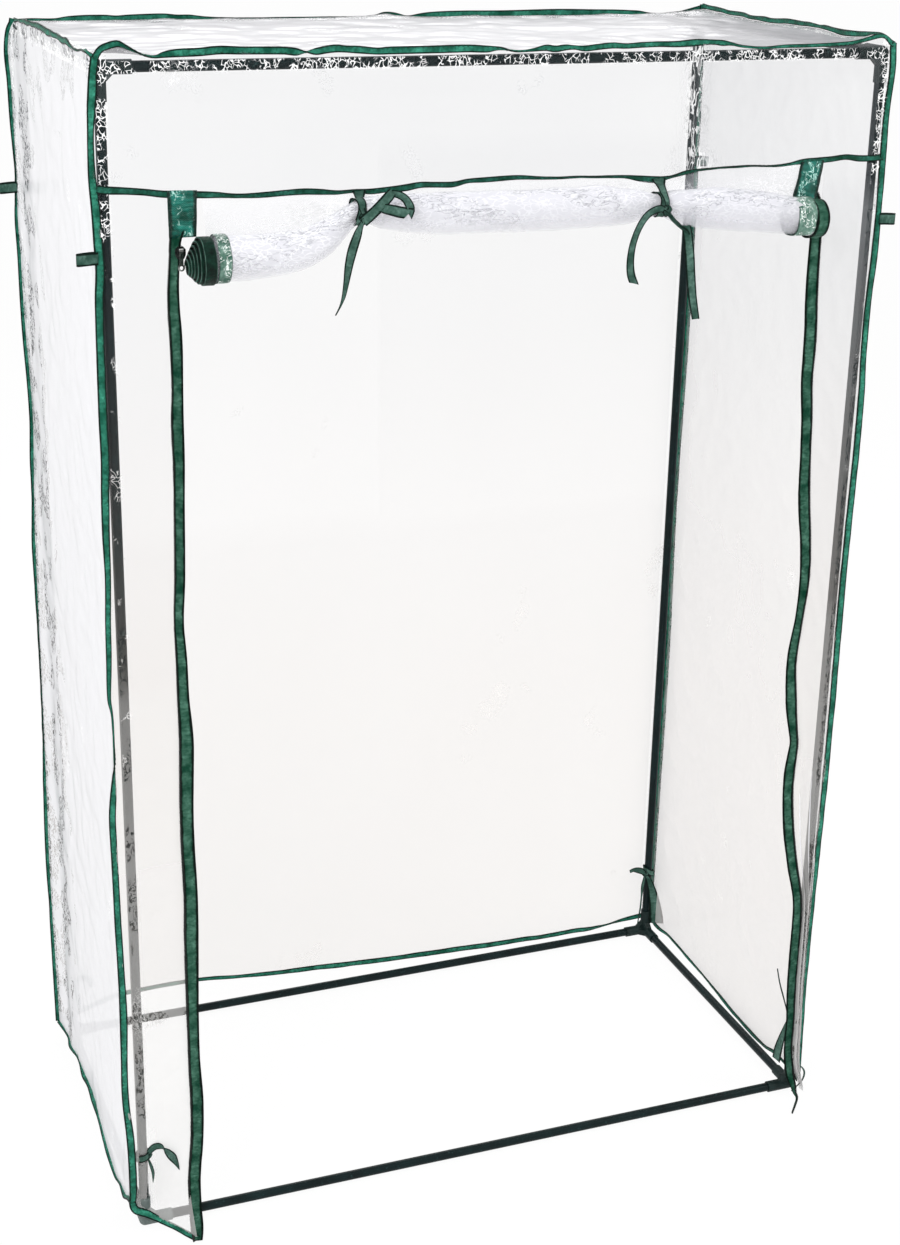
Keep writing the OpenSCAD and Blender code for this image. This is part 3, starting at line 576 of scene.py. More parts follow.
def addTape(shape, rows, look, facing, paint=0, step=0.003):
    # a flat band along rows of x, y, z in metres, its share of the width, its twist in degrees and the
    # slant of a cut end in mm; gives back each place, direction, face, side and half width for the stitches
    look = dict(plainBand, **look)
    uvLayer = shape.loops.layers.uv["tape"]
    rows = evenRows(rows, step)
    places = [Vector(row[:3]) for row in rows]
    spine, rings, walked = [], [], 0.0
    for k, row in enumerate(rows):
        ahead = (places[min(k + 1, len(rows) - 1)] - places[max(k - 1, 0)]).normalized()
        face = facing(places[k]) if callable(facing) else facing
        face = (face - ahead * face.dot(ahead)).normalized()
        side = ahead.cross(face)
        turn = math.radians(row[4])
        face, side = (face * math.cos(turn) + side * math.sin(turn),
                      side * math.cos(turn) - face * math.sin(turn))
        walked += (places[k] - places[max(k - 1, 0)]).length
        half = look["width"] * row[3] / 2
        ring = []
        for across, level in tapeSection:
            spot = places[k] + side * across * half + face * level * look["thick"] / 2
            if len(row) > 5:
                spot += ahead * across * row[5] / 1000
            wave = noise.noise(places[k] * 34 + Vector((across * 0.7, look["seed"], 0)))
            pucker = noise.noise(places[k] * 160 + Vector((0, across * 1.5, look["seed"])))
            swing = wave * look["ripple"] + pucker * look["ripple"] * 0.3 + look["curl"] * across * across
            spot += face * swing
            ring.append(shape.verts.new(spot))
        rings.append((ring, walked))
        spine.append((places[k], ahead, face, side, half))
    count = len(tapeSection)
    for (near, start), (far, end) in zip(rings, rings[1:]):
        for k in range(count):
            after = (k + 1) % count
            quad = shape.faces.new((near[k], near[after], far[after], far[k]))
            quad.material_index = paint
            here, there = tapeSection[k][0], tapeSection[after][0]
            corners = ((here, start), (there, start), (there, end), (here, end))
            for loop, (across, along) in zip(quad.loops, corners):
                loop[uvLayer].uv = (across / 2 + 0.5, along * 100)
    for ring, along in (rings[0], rings[-1]):
        shape.faces.new(ring).material_index = paint
    return spine


def alongSpine(spine, across, lift, step):  # a line of points on the face of a tape, in even steps
    line = [spot + side * half * across + face * lift for spot, ahead, face, side, half in spine]
    return [Vector(row) for row in evenRows([list(p) for p in line], step)]


def beadTree():  # beads set along lines: stitches and zip coils
    tree = bpy.data.node_groups.new("beadsAlongLines", "GeometryNodeTree")
    face = tree.interface
    for label, kind in (("Geometry", "Geometry"), ("Pitch", "Float"), ("Bead Size", "Vector"),
                        ("Unevenness", "Float"), ("Finish", "Material")):
        face.new_socket(label, in_out="INPUT", socket_type="NodeSocket" + kind)
    face.new_socket("Geometry", in_out="OUTPUT", socket_type="NodeSocketGeometry")
    given = addNode(tree, "NodeGroupInput").outputs
    lines = addNode(tree, "GeometryNodeMeshToCurve", {0: given["Geometry"]}).outputs[0]
    evenly = addNode(tree, "GeometryNodeResampleCurve", {"Curve": lines, "Length": given["Pitch"]},
                     mode="LENGTH")
    bead = addNode(tree, "GeometryNodeMeshUVSphere",
                   {"Segments": 5, "Rings": 3, "Radius": 1.0}).outputs["Mesh"]
    tangent = addNode(tree, "GeometryNodeInputTangent").outputs[0]
    turned = addNode(tree, "FunctionNodeAlignRotationToVector", {"Vector": tangent}, axis="Z").outputs[0]
    uneven = given["Unevenness"]
    luck = addNode(tree, "FunctionNodeRandomValue", {2: restOf(uneven), 3: plus(1.0, uneven), "Seed": 7},
                   data_type="FLOAT").outputs[1]
    scale = addNode(tree, "ShaderNodeVectorMath", {0: given["Bead Size"], "Scale": luck},
                    operation="SCALE").outputs[0]
    beads = addNode(tree, "GeometryNodeInstanceOnPoints", {"Points": evenly.outputs[0], "Instance": bead,
                                                           "Rotation": turned, "Scale": scale}).outputs[0]
    real = addNode(tree, "GeometryNodeRealizeInstances", {0: beads}).outputs[0]
    smooth = addNode(tree, "GeometryNodeSetShadeSmooth", {"Geometry": real}).outputs[0]
    coated = addNode(tree, "GeometryNodeSetMaterial",
                     {"Geometry": smooth, "Material": given["Finish"]}).outputs[0]
    tree.links.new(coated, addNode(tree, "NodeGroupOutput").inputs[0])
    return tree


beadsAlongLines = beadTree()


def beads(name, lines, look, material, body, slot):
    mesh = bpy.data.meshes.new(name + "Lines")
    points, edges = [], []
    for line in lines:
        edges += [(len(points) + k, len(points) + k + 1) for k in range(len(line) - 1)]
        points += [tuple(p) for p in line]
    mesh.from_pydata(points, edges, [])
    guide = addObject(name + "Guide", mesh)
    modifier = guide.modifiers.new("beads", "NODES")
    modifier.node_group = beadsAlongLines
    values = {"Pitch": look["pitch"], "Bead Size": look["size"], "Unevenness": look["uneven"],
              "Finish": material}
    for item in beadsAlongLines.interface.items_tree:
        if item.in_out == "INPUT" and item.name in values:
            modifier[item.identifier] = values[item.name]
    made = bpy.data.meshes.new_from_object(guide.evaluated_get(bpy.context.evaluated_depsgraph_get()))
    made.name = name
    bpy.data.objects.remove(guide)
    addPiece(name, made, [], body, [], slot)


# edges of the cover: each runs between two corners of the film box and is pulled off the plain line.
# A row holds the distance in mm from the start, the pull in mm along the first axis of "order", the
# band's width in percent, its twist, and the pulls along the other two axes. What a row leaves out at
# its end is as in the row before

coverCorners = {
    "frontLeftTop": (4.5, -1, 0), "frontRightTop": (-1, -1, 0),
    "backLeftTop": (4.5, 1, -1.5), "backRightTop": (0, 1, 8),
    "frontLeftBottom": (-9, -1, 20), "frontRightBottom": (-2, -2, -7),
    "backLeftBottom": (-9, 1, -2), "backRightBottom": (3, 1, 3)}

coverEdges = {
    "topFront": {"ends": ("frontLeftTop", "frontRightTop"), "order": "zyx", "last": 540, "rows": [
        (9, 8.8, 95, 0, -1), (21, 13.8, 100, 0, -2), (29, 15, 95, 8), (34, 13.2, 75, 25),
        (45, 7.7, 50, 60, -1), (57, 2.8, 42, 110), (69, 0.6, 40, 150, 0), (79, 2.8, 90, 176),
        (93, 4.3, 115, 180, -1), (117, 5, 118), (141, 6.7, 120), (165, 5.8, 112), (213, 5, 112, 184),
        (228, 3.2, 110, 200), (237, 3, 50, 260, 0), (249, 3.4, 100, 350, -1), (261, 5.4, 112, 360),
        (273, 6.4, 112), (285, 5.5, 100), (297, 4.8, 110), (321, 2.8, 100), (333, 3.2, 110, 362),
        (381, 3.5, 112, 360), (429, 4, 112, 358), (453, 3, 100, 360), (465, 3.4, 55, 380, 0),
        (477, 1.8, 40, 450), (489, 0.2, 35, 500), (501, 0.2, 35, 520), (513, 1.5, 60, 536),
        (525, 3.3, 95, 540, -1), (537, 1.8, 100), (549, 3.3, 90), (561, 3.1, 65), (573, 1.8, 88, 542),
        (585, 2.7, 92, 540), (609, 4.6, 90), (627, 3.7, 80, 538), (645, 4.6, 85, 540), (669, 5.2, 85),
        (693, 4.9, 95), (717, 6.3, 110), (741, 6.5, 80, 545), (753, 5.3, 90, 540), (765, 4.2, 50, 560, 0),
        (780, 1, 40), (808, -1, 42, 550), (840, 0.2, 55, 540), (880, 0.6, 60), (921, 2.2, 60),
        (933, 3.4, 62, 540, -1), (948, 6.4, 65), (958, 9, 75), (966, 10.6, 75), (976, 9.4, 60)]},
    "topBack": {"ends": ("backLeftTop", "backRightTop"), "order": "zyx", "tuck": 3.8, "rows": [
        (25, 0.3, 75, 0, 2), (57, 0.3, 66), (73, 1.5, 97, 0, 1), (95, 2.2, 114), (121, 2.2, 114, 5),
        (137, 1.7, 98, 0), (153, 2.1, 115), (185, 3, 115, 5), (201, 3.5, 100, 0), (217, 2.1, 98),
        (233, 1.9, 100), (249, 0.8, 80, 10), (265, 0.3, 60, 30), (281, 0.2, 35, 50), (297, -0.5, 42, 40, 2),
        (361, -0.5, 48, 20), (425, -0.4, 42, 30), (457, -0.1, 24, 60), (489, 1.2, 24), (505, 4.8, 50, 30),
        (521, 2.9, 66, 10), (537, 0.1, 38, 40), (553, 0.8, 80, 5, 1), (569, 1.8, 105, 0), (601, 2.5, 120),
        (633, 3.2, 106, 4), (665, 2.5, 120, 0), (697, 2.5, 125), (745, 3.1, 132), (777, 2.9, 136),
        (809, 2.6, 125), (841, 3.2, 95, 5), (857, 2, 115, 0), (873, 1.8, 100), (889, 1.5, 85, 10),
        (905, 0.5, 36, 50, 2), (921, -0.1, 24, 60), (937, 0.9, 24), (953, 2.2, 30, 50), (975, 6, 70, 10)]},
    "topLeft": {"ends": ("frontLeftTop", "backLeftTop"), "order": "zxy", "tuck": 3.4, "last": 180, "rows": [
        (10, 5.5, 50, 60, -2), (22, 6.3, 80), (34, 5.8, 50, 90), (48, 4.5, 34, 120), (62, 3, 30, 150),
        (82, 2.8, 36, 165), (102, 3.8, 70, 175), (122, 7.2, 110, 180), (142, 5.8, 110, 185),
        (182, 7.2, 98, 180, -1), (202, 6.6, 95), (222, 7, 118, 178), (242, 6.5, 120, 182),
        (262, 7.5, 110, 180), (302, 8.6, 108), (322, 7.7, 95, 180, 0), (342, 6.6, 90, 176),
        (362, 6.7, 80, 180), (382, 5, 95), (402, 5.7, 80, 180, 1), (422, 4.2, 80), (442, 3.1, 42, 200),
        (462, 2.1, 45, 200, 2), (485, 0, 80, 180, 3)]},
    "topRight": {"ends": ("frontRightTop", "backRightTop"), "order": "zyx", "tuck": 3.6, "rows": [
        (12, 7, 40, 20), (27, 10.2, 42), (47, 9.4, 50, 15), (62, 7.3, 85, 0), (82, 5.6, 96, 5),
        (102, 4.7, 105, 0), (122, 4.4, 108), (142, 5.5, 90, -8), (162, 6.8, 85, 0), (176, 6.8, 60, 25),
        (186, 6.9, 70, 5), (202, 7.4, 82, 0), (222, 6.7, 85), (242, 6.8, 95, -5), (262, 6.5, 95, 0),
        (282, 4.9, 95), (302, 3.9, 90, 4), (322, 4.3, 100, 0), (342, 4, 80), (362, 3.7, 80),
        (382, 5.5, 85, 5), (422, 5, 85, 0), (442, 6.2, 85), (462, 6.7, 95), (482, 7.2, 85)]},
    "frontLeft": {"ends": ("frontLeftBottom", "frontLeftTop"), "order": "xyz", "last": 180, "rows": [
        (25, -7, 105, 0, -1), (53, -6, 110), (115, -7, 108, 4), (177, -11.2, 96, 0), (236, -10.7, 94),
        (295, -9.2, 105, -4), (353, -9.5, 95, 0), (436, -11, 92), (522, -11.6, 92, 4), (576, -12.2, 90, 0),
        (612, -9.5, 86, 8), (637, -7.6, 45, 40), (654, -6.6, 30, 100, -2), (676, -6.6, 24, 150),
        (699, -6.8, 26, 190), (716, -7.4, 30, 170), (734, -9.6, 50, 178, -1), (785, -8, 72, 180),
        (835, -7, 74), (885, -5, 78), (934, -5, 95, 182), (982, -4.2, 105, 180), (1029, -2.4, 108),
        (1076, -2.7, 110, 178), (1168, -2.2, 105, 180), (1213, -1.2, 110), (1246, 1, 115, 182),
        (1279, 0, 115, 180), (1312, -1.2, 110), (1344, -3.4, 95, 176), (1370, -3.8, 82, 180), (1398, -3, 80),
        (1429, -0.5, 110, 184), (1457, 2, 100, 180)]},
    "frontRight": {"ends": ("frontRightBottom", "frontRightTop"), "order": "xyz", "rows": [
        (120, -3.4, 75, 0, -1), (194, -4, 80), (254, -3.8, 88, 4), (374, -2.6, 95, 0), (470, -1.3, 95, -4),
        (614, -1, 100, 0), (734, -2, 110), (854, -1.5, 105, 4), (950, 0, 105, 0), (1034, -0.4, 105),
        (1094, -3, 95), (1154, -2.8, 105, 4), (1214, -0.2, 105, 0), (1274, 0, 90), (1334, -1, 100, -4),
        (1394, -1.6, 90, 0), (1440, 1, 100)]},
    "backLeft": {"ends": ("backLeftBottom", "backLeftTop"), "order": "xyz", "rows": [
        (138, -10.5, 82, 0, 1), (204, -11, 70, 20), (273, -11, 92, 0), (403, -9, 80, 5), (480, -8, 50, 50),
        (590, -7, 45, 60), (700, -6, 70, 20), (770, -5.2, 88, 0), (830, -3.4, 60, 20), (887, -1, 100, 0),
        (944, 1, 86), (1000, 0.2, 86, -4), (1055, -2, 85, 0), (1110, -3, 84), (1166, -3.4, 72),
        (1216, -4.4, 70, 8), (1272, -2.8, 42, 50), (1345, -3.2, 82, 0), (1394, -3.4, 95), (1430, -5, 95, 5),
        (1456, -2, 90, 0)]},
    "backRight": {"ends": ("backRightBottom", "backRightTop"), "order": "xyz", "rows": [
        (180, 4, 100, 0, 1), (460, 6, 100, -4), (740, 3, 100, 4), (1010, 6, 100, 0), (1280, 4, 100, 5)]},
    "hemBack": {"ends": ("backLeftBottom", "backRightBottom"), "order": "zyx", "rows": [
        (60, 18, 80, 0, 3), (90, 24, 80), (209, 25, 70, 6, 4), (276, 19, 60, -8, 2), (344, 12.8, 85, 5, 3),
        (374, 11.4, 90), (404, 10, 90, 0), (440, 6.5, 100, 0, 4), (464, 5.3, 95, 5), (524, 2.4, 90, -6, 3),
        (584, 0, 95, 0, 4), (614, -1.5, 95, 5), (644, -2.2, 100, 0), (704, -4.9, 95, -4), (764, -5, 90, 0, 3),
        (794, -6.5, 85, 6), (854, -5.9, 85, 0), (884, -7.4, 80, 20), (914, -5, 50, 30), (944, -1, 70, 0)]},
    "hemLeft": {"ends": ("frontLeftBottom", "backLeftBottom"), "order": "zxy", "rows": [
        (20, 12, 110, 0, -8), (45, -2, 110, 8), (82, -10, 60, 20, -7), (110, -16, 70, 10, -7.5),
        (157, -9, 95, 0), (182, -5, 90, -8, -7), (232, 1, 85, 0, -5), (257, 5, 120, 0, -4),
        (307, 6, 100, 5, -3), (332, 6.5, 115, 0, -4.5), (360, 7, 50, 30, -5), (382, 7, 45),
        (407, 2, 75, 0, -5.5), (432, -3, 90), (457, -3, 60, 0, -4)]},
    "hemRight": {"ends": ("frontRightBottom", "backRightBottom"), "order": "zxy", "rows": [
        (30, -8, 40, 0, 2), (73, -9, 60, 0, 3.5), (104, -16, 60), (191, -16, 60, 6), (272, -9, 50, -5),
        (357, -4, 50, 0), (432, -1, 50), (480, -6, 80)]},
    "seam": {"ends": ((0, -1, 5), (0, -1, 7)), "order": "zyx", "rows": [
        (7, 3.5, 110, 0, -1), (34, 1.6, 95, 0, -2), (54, -0.6, 90, 0, -1), (74, -3.4, 95),
        (114, -5.4, 95, 4, -2), (134, -6.4, 80, 0), (154, -8.2, 65, 20), (183, -8.5, 75, 4),
        (214, -7.1, 80, 0), (234, -6.6, 85, -5), (254, -7.7, 80, 0), (274, -9.3, 60, 15), (294, -8.4, 50, 25),
        (314, -9.6, 80, 5), (334, -8.1, 75, 0), (354, -7.1, 95), (374, -4.4, 85), (394, -5, 80, 5),
        (414, -5.4, 80, 0), (432, -2.1, 65, 15), (454, -1.6, 75, 4), (494, -0.4, 65, 0), (534, -2.6, 40, 20),
        (574, -2.7, 34, 30), (594, -3.4, 36), (614, -3.9, 40, 20), (634, -4.7, 50, 10), (654, -7.7, 90, 0),
        (674, -9.4, 95), (694, -7.1, 45, 30), (714, -2.4, 60, 10), (734, 0.1, 34, 30), (794, 2.2, 28, 40),
        (834, 1.2, 30, 30), (854, 2.2, 40, 20, -1), (874, 4.8, 80, 0), (894, 5.4, 90), (914, 6.6, 85, 6),
        (934, 8.4, 80, 0), (954, 6, 95), (974, 5.8, 95)]},
    "stripHemLeft": {"ends": ("frontLeftBottom", (-18, -49, -22.6)), "order": "zxy", "rows": [
        (10, 7, 110, 0, -16, -1), (26, -2, 110, 0, -17, -3), (45, -16, 90, 10, -17, -6),
        (60, -21.8, 80, 10, -17, -17), (72, -22.4, 80, 10, -18, -34)]},
    "stripHemRight": {"ends": ((84, -6, -22), "frontRightBottom"), "order": "zxy", "rows": [
        (40, -15, 100, 0, 44, -5)]},
    "zipLeft": {"ends": ((-18, -49, -22.6), None), "order": "xyz", "rows": [
        (14, -16, 95, 0, -14, -8), (34, -15.5, 98, 0, -3, 0), (95, -10, 98, 0, -1), (156, -8.5, 102),
        (217, -10.4, 90), (277, -10.6, 90), (394, -9.6, 108), (450, -8.7, 105), (562, -10.8, 100),
        (669, -8.5, 105), (722, -10.6, 85, 10), (774, -11.4, 80, 16), (825, -13, 70, 25),
        (875, -10.5, 74, 20), (974, -8.4, 74, 16), (1022, -7.6, 80, 10), (1069, -8, 85), (1100, -6.8, 76, 15),
        (1162, -6.8, 85, 10), (1208, -8.5, 78), (1253, -6, 70)]},
    "zipRight": {"ends": ((84, -6, -22), None), "order": "xyz", "rows": [
        (29, 69, 85, 0, -2), (97, 66, 80), (165, 63, 95), (231, 62.5, 95), (296, 60, 75, 20),
        (362, 45, 95, 0), (426, 33.5, 102), (489, 28.5, 100), (549, 32.5, 66, 35), (570, 28, 75, 20),
        (610, 22, 100, 0), (669, 17.5, 90), (726, 23.5, 62, 35), (783, 27, 80, 15), (839, 23, 98, 0),
        (895, 16, 105), (950, 12.5, 96), (1004, 10, 88, 8), (1057, 5, 102, 0), (1109, 5, 108), (1161, 2, 108),
        (1237, 0, 100)]}}


def cornerPlace(name):
    return Vector((filmLeft if "Left" in name else filmRight,
                   filmFront if name.startswith("front") else filmBack,
                   filmTop if name.endswith("Top") else filmFoot))


def onFront(x, z):
    return Vector((x, filmFront, z))


openEnds = {"stripHemLeft": (onFront(filmLeft, filmFoot), onFront(zipInLeft, filmFoot)),
            "stripHemRight": (onFront(zipInRight, filmFoot), onFront(filmRight, filmFoot)),
            "seam": (onFront(filmLeft, seamLine), onFront(filmRight, seamLine)),
            "zipLeft": (onFront(zipInLeft, filmFoot), onFront(zipInLeft, seamLine)),
            "zipRight": (onFront(zipInRight, filmFoot), onFront(zipInRight, seamLine))}


def readyEdge(name):
    edge = coverEdges[name]
    near, far = openEnds.get(name) or [cornerPlace(end) for end in edge["ends"]]
    pulls = [coverCorners[end] if isinstance(end, str) else end for end in edge["ends"]]
    if pulls[1] is None:  # a zip ends where it meets the seam
        pulls[1] = tuple(edgePull("seam", near.x - filmLeft)[0] * 1000)
    length = (far - near).length
    edge["start"], edge["along"], edge["length"] = near, (far - near).normalized(), length
    edge["sewn"] = Vector((0, 0, -edge.get("tuck", 0.0) / 1000))  # film joins a standing band's lower rim
    edge["knots"], edge["values"] = [0.0], [list(pulls[0]) + [1.0, 0.0]]
    held = [0.0, 0.0, 0.0]
    for at, pull, wide, *given in edge["rows"]:
        held[:len(given)] = given
        pulled = dict(zip(edge["order"], (pull, *held[1:])))
        edge["knots"].append(at / 1000)
        edge["values"].append([pulled["x"], pulled["y"], pulled["z"], wide / 100, held[0]])
    edge["knots"].append(length)
    edge["values"].append(list(pulls[1]) + [1.0, edge.get("last", 0.0)])


def edgePull(name, at):
    edge = coverEdges[name]
    row = between(edge["knots"], edge["values"], min(max(at, 0.0), edge["length"]))
    return Vector(row[:3]) / 1000, row[3], row[4]


for name in coverEdges:
    readyEdge(name)


# film panels: flat sheets drawn to the pulled edges, with creases and soft folds

filmWrinkles = {"swell": 0.0022, "crease": 0.0016, "fine": 0.0005}
nearTube = 0.02  # film closer to a tube than this rests on it


def lineGap(point, a, b):
    along = (b - a).normalized()
    reach = min(max((point - a).dot(along), 0.0), (b - a).length)
    return (point - a - along * reach).length


def tubeAxisLines():
    xs, ys = (-postX, postX), (postFront, postBack)
    lines = [(Vector((x, y, railLow)), Vector((x, y, railHigh))) for x in xs for y in ys]
    for z in (railLow, railHigh):
        lines += [(Vector((xs[0], y, z)), Vector((xs[1], y, z))) for y in ys]
        lines += [(Vector((x, ys[0], z)), Vector((x, ys[1], z))) for x in xs]
    return lines


tubeAxes = tubeAxisLines()


def tubeGap(spot):
    return min(lineGap(spot, a, b) for a, b in tubeAxes) - tubeRadius


def filmPanel(name, node, start, across, up, outward, sides, cell=0.008, milky=0.5, shape=None,
              marked=None):
    # the sides are the bottom, top, left and right: each names the edge that it is sewn to, how far in
    # that is felt, and where along the edge the panel starts
    wide, tall = across.length, up.length
    columns, rows = round(wide / cell), round(tall / cell)

    def pulls(side, long, count):
        edgeName, reach, *offset = sides[side]
        drawn = []
        for k in range(count + 1):
            pull, share, twist = edgePull(edgeName, sum(offset) + long * k / count)
            drawn.append(pull + coverEdges[edgeName]["sewn"] * share)
        return drawn

    def fall(side, gap):
        reach = sides[side][1]
        return max(0.0, 1 - gap / reach) ** (1 if reach > 0.07 else 2)

    bottoms, tops, lefts, rights = (pulls(*side) for side in (
        (0, wide, columns), (1, wide, columns), (2, tall, rows), (3, tall, rows)))
    points, presses, streaks = [], [], []
    for j in range(rows + 1):
        v = tall * j / rows
        low, high = fall(0, v), fall(1, tall - v)
        for i in range(columns + 1):
            u = wide * i / columns
            left, right = fall(2, u), fall(3, wide - u)
            spot = start + across * (i / columns) + up * (j / rows)
            spot += bottoms[i] * low + tops[i] * high + lefts[j] * left + rights[j] * right
            spot -= bottoms[0] * low * left + bottoms[-1] * low * right
            spot -= tops[0] * high * left + tops[-1] * high * right
            gap = min(u, wide - u, v, tall - v)
            lift = noise.noise(spot * 9) * filmWrinkles["swell"] * min(gap / 0.12, 1.0)
            pillow = min(abs(noise.noise(spot * 21)) * 2.2, 1.0) - 0.35  # sharp valleys between pillows
            lift += pillow * filmWrinkles["crease"] * min(gap / 0.03, 1.0)
            lift += noise.noise(spot * 70) * filmWrinkles["fine"]
            if tubeGap(spot) < nearTube:
                lift = max(lift, 0.0) * 0.8 + 0.0003
            spot += outward * lift
            if shape:
                spot = shape(spot, u / wide, v / tall)
            while tubeGap(spot) < 0.0005:  # film can't go through a tube
                spot = spot + outward * 0.0003
            points.append(spot)
            press, streak = marked(spot) if marked else (0.0, 0.0)
            presses.append(press)
            streaks.append(streak)
    mesh = gridMesh(name, points, columns, rows, (presses, streaks, [milky] * len(points)))
    if mesh.polygons[0].normal.dot(outward) < 0:
        mesh.flip_normals()
    piece = addPiece(name, mesh, [clearFilm], coverBody, [node], "clear_film")


def pleats(depth, waves):  # film gathered towards the floor falls into pleats that stand forward
    def shape(spot, u, v):
        gathered = max(0.0, 1 - v * 1.5) ** 1.5 * min((1 - u) * 2.5, 1)
        return spot - alongY * depth * gathered * (0.5 - 0.5 * math.cos(math.tau * waves * u))
    return shape


# its white lines are painted highlights and its dark strokes painted shade, put where the back right post
# shows through the header from the camera
def uprightCreases(spot):  # the header is drawn together in one upright band that fans out over the seam
    fan = max(0.0, 1 - (spot.z - seamLine) / 0.03)
    band = math.exp(-((spot.x - 0.227 - 0.012 * fan) / (0.0125 + 0.016 * fan)) ** 2)
    return 0.9 * band, 0.95 * min(band * 1.5, 1)


# dark strokes of painted shade, dark reflections of the tubes in the film's wrinkles
def sideShadeStrokes(spot):  # fine strokes towards the back post and under the top rail
    return 0.0, max(0.7 * rise(spot.y - midY, 0.1, 0.2), 0.5 * rise(spot.z, 1.39, 1.45))


# dark strokes of painted shade near the back edge of the top
def topShadeStrokes(spot):
    return 0.0, 0.75 * rise(spot.y, postBack - 0.07, postBack - 0.02)


# dark strokes of painted shade across the strips near the floor
def stripShadeStrokes(spot):  # wrinkles across the strips near the floor
    return 0.0, 0.8 * math.exp(-((spot.z - 0.31 - 0.06 * (spot.x + postX)) / 0.012) ** 2)


wideX, deepY = alongX * (filmRight - filmLeft), alongY * (filmBack - filmFront)
tallZ = alongZ * (filmTop - filmFoot)
footLeft, footRight = onFront(filmLeft, filmFoot), onFront(filmRight, filmFoot)
fromSeam = seamLine - filmFoot
filmPanel("topFilm", "panel_top", onFront(filmLeft, filmTop), wideX, deepY, alongZ,
          [("topFront", 0.05), ("topBack", 0.05), ("topLeft", 0.05), ("topRight", 0.05)], marked=topShadeStrokes)
filmPanel("backFilm", "panel_back", footLeft + deepY, wideX, tallZ, alongY,
          [("hemBack", 0.16), ("topBack", 0.05), ("backLeft", 0.05), ("backRight", 0.05)])
filmPanel("leftFilm", "panel_left", footLeft, deepY, tallZ, -alongX,
          [("hemLeft", 0.16), ("topLeft", 0.05), ("frontLeft", 0.06), ("backLeft", 0.05)], marked=sideShadeStrokes)
filmPanel("rightFilm", "panel_right", footRight, deepY, tallZ, alongX,
          [("hemRight", 0.16), ("topRight", 0.05), ("frontRight", 0.05), ("backRight", 0.05)])
filmPanel("headerFilm", "panel_header", onFront(filmLeft, seamLine), wideX,
          alongZ * (filmTop - seamLine), -alongY,
          [("seam", 0.065), ("topFront", 0.05), ("frontLeft", 0.06, fromSeam),
           ("frontRight", 0.06, fromSeam)], cell=0.006, marked=uprightCreases)
filmPanel("leftStripFilm", "strip_left", footLeft, alongX * (zipInLeft - filmLeft), alongZ * fromSeam,
          -alongY, [("stripHemLeft", 0.16), ("seam", 0.065), ("frontLeft", 0.083), ("zipLeft", 0.083)],
          cell=0.005, milky=1.0, marked=stripShadeStrokes)
filmPanel("rightStripFilm", "strip_right", onFront(zipInRight, filmFoot),
          alongX * (filmRight - zipInRight), alongZ * fromSeam, -alongY,
          [("stripHemRight", 0.16), ("seam", 0.065, zipInRight - filmLeft),
           ("zipRight", 0.083), ("frontRight", 0.083)],
          cell=0.004, milky=1.0, shape=pleats(0.012, 3))
print("film panels made")


# bindings: folded tape over the film's edges, standing out as a fin, with a line of stitches

bindingLook = {"width": 0.0096, "thick": 0.0017, "ripple": 0.0009}
stitchLook = {"pitch": 0.006, "size": (0.0004, 0.0004, 0.0015), "uneven": 0.15}
stitchLines = []


def bindEdge(shape, edgeName, fin, facing, proud=0.001, trim=(0.0, 0.0), **changes):
    edge = coverEdges[edgeName]
    look = dict(bindingLook, seed=len(edgeName) * 1.7, **changes)
    first, last = trim[0], edge["length"] - trim[1]
    count = round((last - first) / 0.006)
    rows = []
    for k in range(count + 1):
        at = first + (last - first) * k / count
        pull, wide, twist = edgePull(edgeName, at)
        rows.append([*(edge["start"] + edge["along"] * at + pull + fin * proud), wide, twist])
    spine = addTape(shape, rows, look, facing)
    for lift in (1, -1):
        stitchLines.append(alongSpine(spine, -0.45, lift * (look["thick"] / 2 + 0.0002), 0.003))


def hemFacing(point):  # a hem lies flat where it meets the floor
    return Vector((0, -0.9, 0.4)).lerp(Vector((-0.2, -0.15, 1)), rise(0.03 - point.z, 0.0, 0.02))


bindings = {  # the node that each stands for, its tape, and the edges that it follows
    "frontTopBinding": ("top_binding_front", bindingTape, [
        ("topFront", alongZ, -alongY, {"trim": (-0.001, -0.002), "width": 0.0078})]),
    "backTopBinding": ("top_binding_back", bindingTape, [
        ("topBack", alongZ, alongY, {"proud": -0.0015, "width": 0.0076})]),
    "sideTopBindings": ("top_binding_sides", bindingTape, [
        ("topLeft", alongZ, -alongX, {"trim": (0.002, 0.002), "width": 0.007}),
        ("topRight", alongZ, alongX, {"trim": (0.0, 0.002), "width": 0.0075})]),
    "cornerBindings": ("corner_bindings", bindingTape, [
        (depth + side, fin, facing, {"trim": (0.0, -0.003)})
        for depth, facing in (("front", -alongY), ("back", alongY))
        for side, fin in (("Left", -alongX), ("Right", alongX))]),
    "headerSeam": ("header_seam", seamTape, [("seam", alongZ, -alongY, {"proud": 0.0, "width": 0.0085})]),
    "backHem": ("hem_back", bindingTape, [("hemBack", -alongZ, alongY, {"proud": 0.0})]),
    "sideHems": ("side_hems", bindingTape, [("hemLeft", -alongZ, Vector((-0.55, 0, 0.83)), {"proud": 0.0}),
                                            ("hemRight", -alongZ, alongX, {"proud": 0.0})]),
    "leftStripHem": ("hem_strip_left", bindingTape, [("stripHemLeft", -alongZ, hemFacing, {"proud": 0.0})])}
for name, (node, tape, edges) in bindings.items():
    shape = newShape()
    for edgeName, fin, facing, changes in edges:
        bindEdge(shape, edgeName, fin, facing, **changes)
    finishPiece(name, shape, [tape], coverBody, [node], "binding")
print("bindings made")


# zips: woven tape with a black coil along the side of the doorway

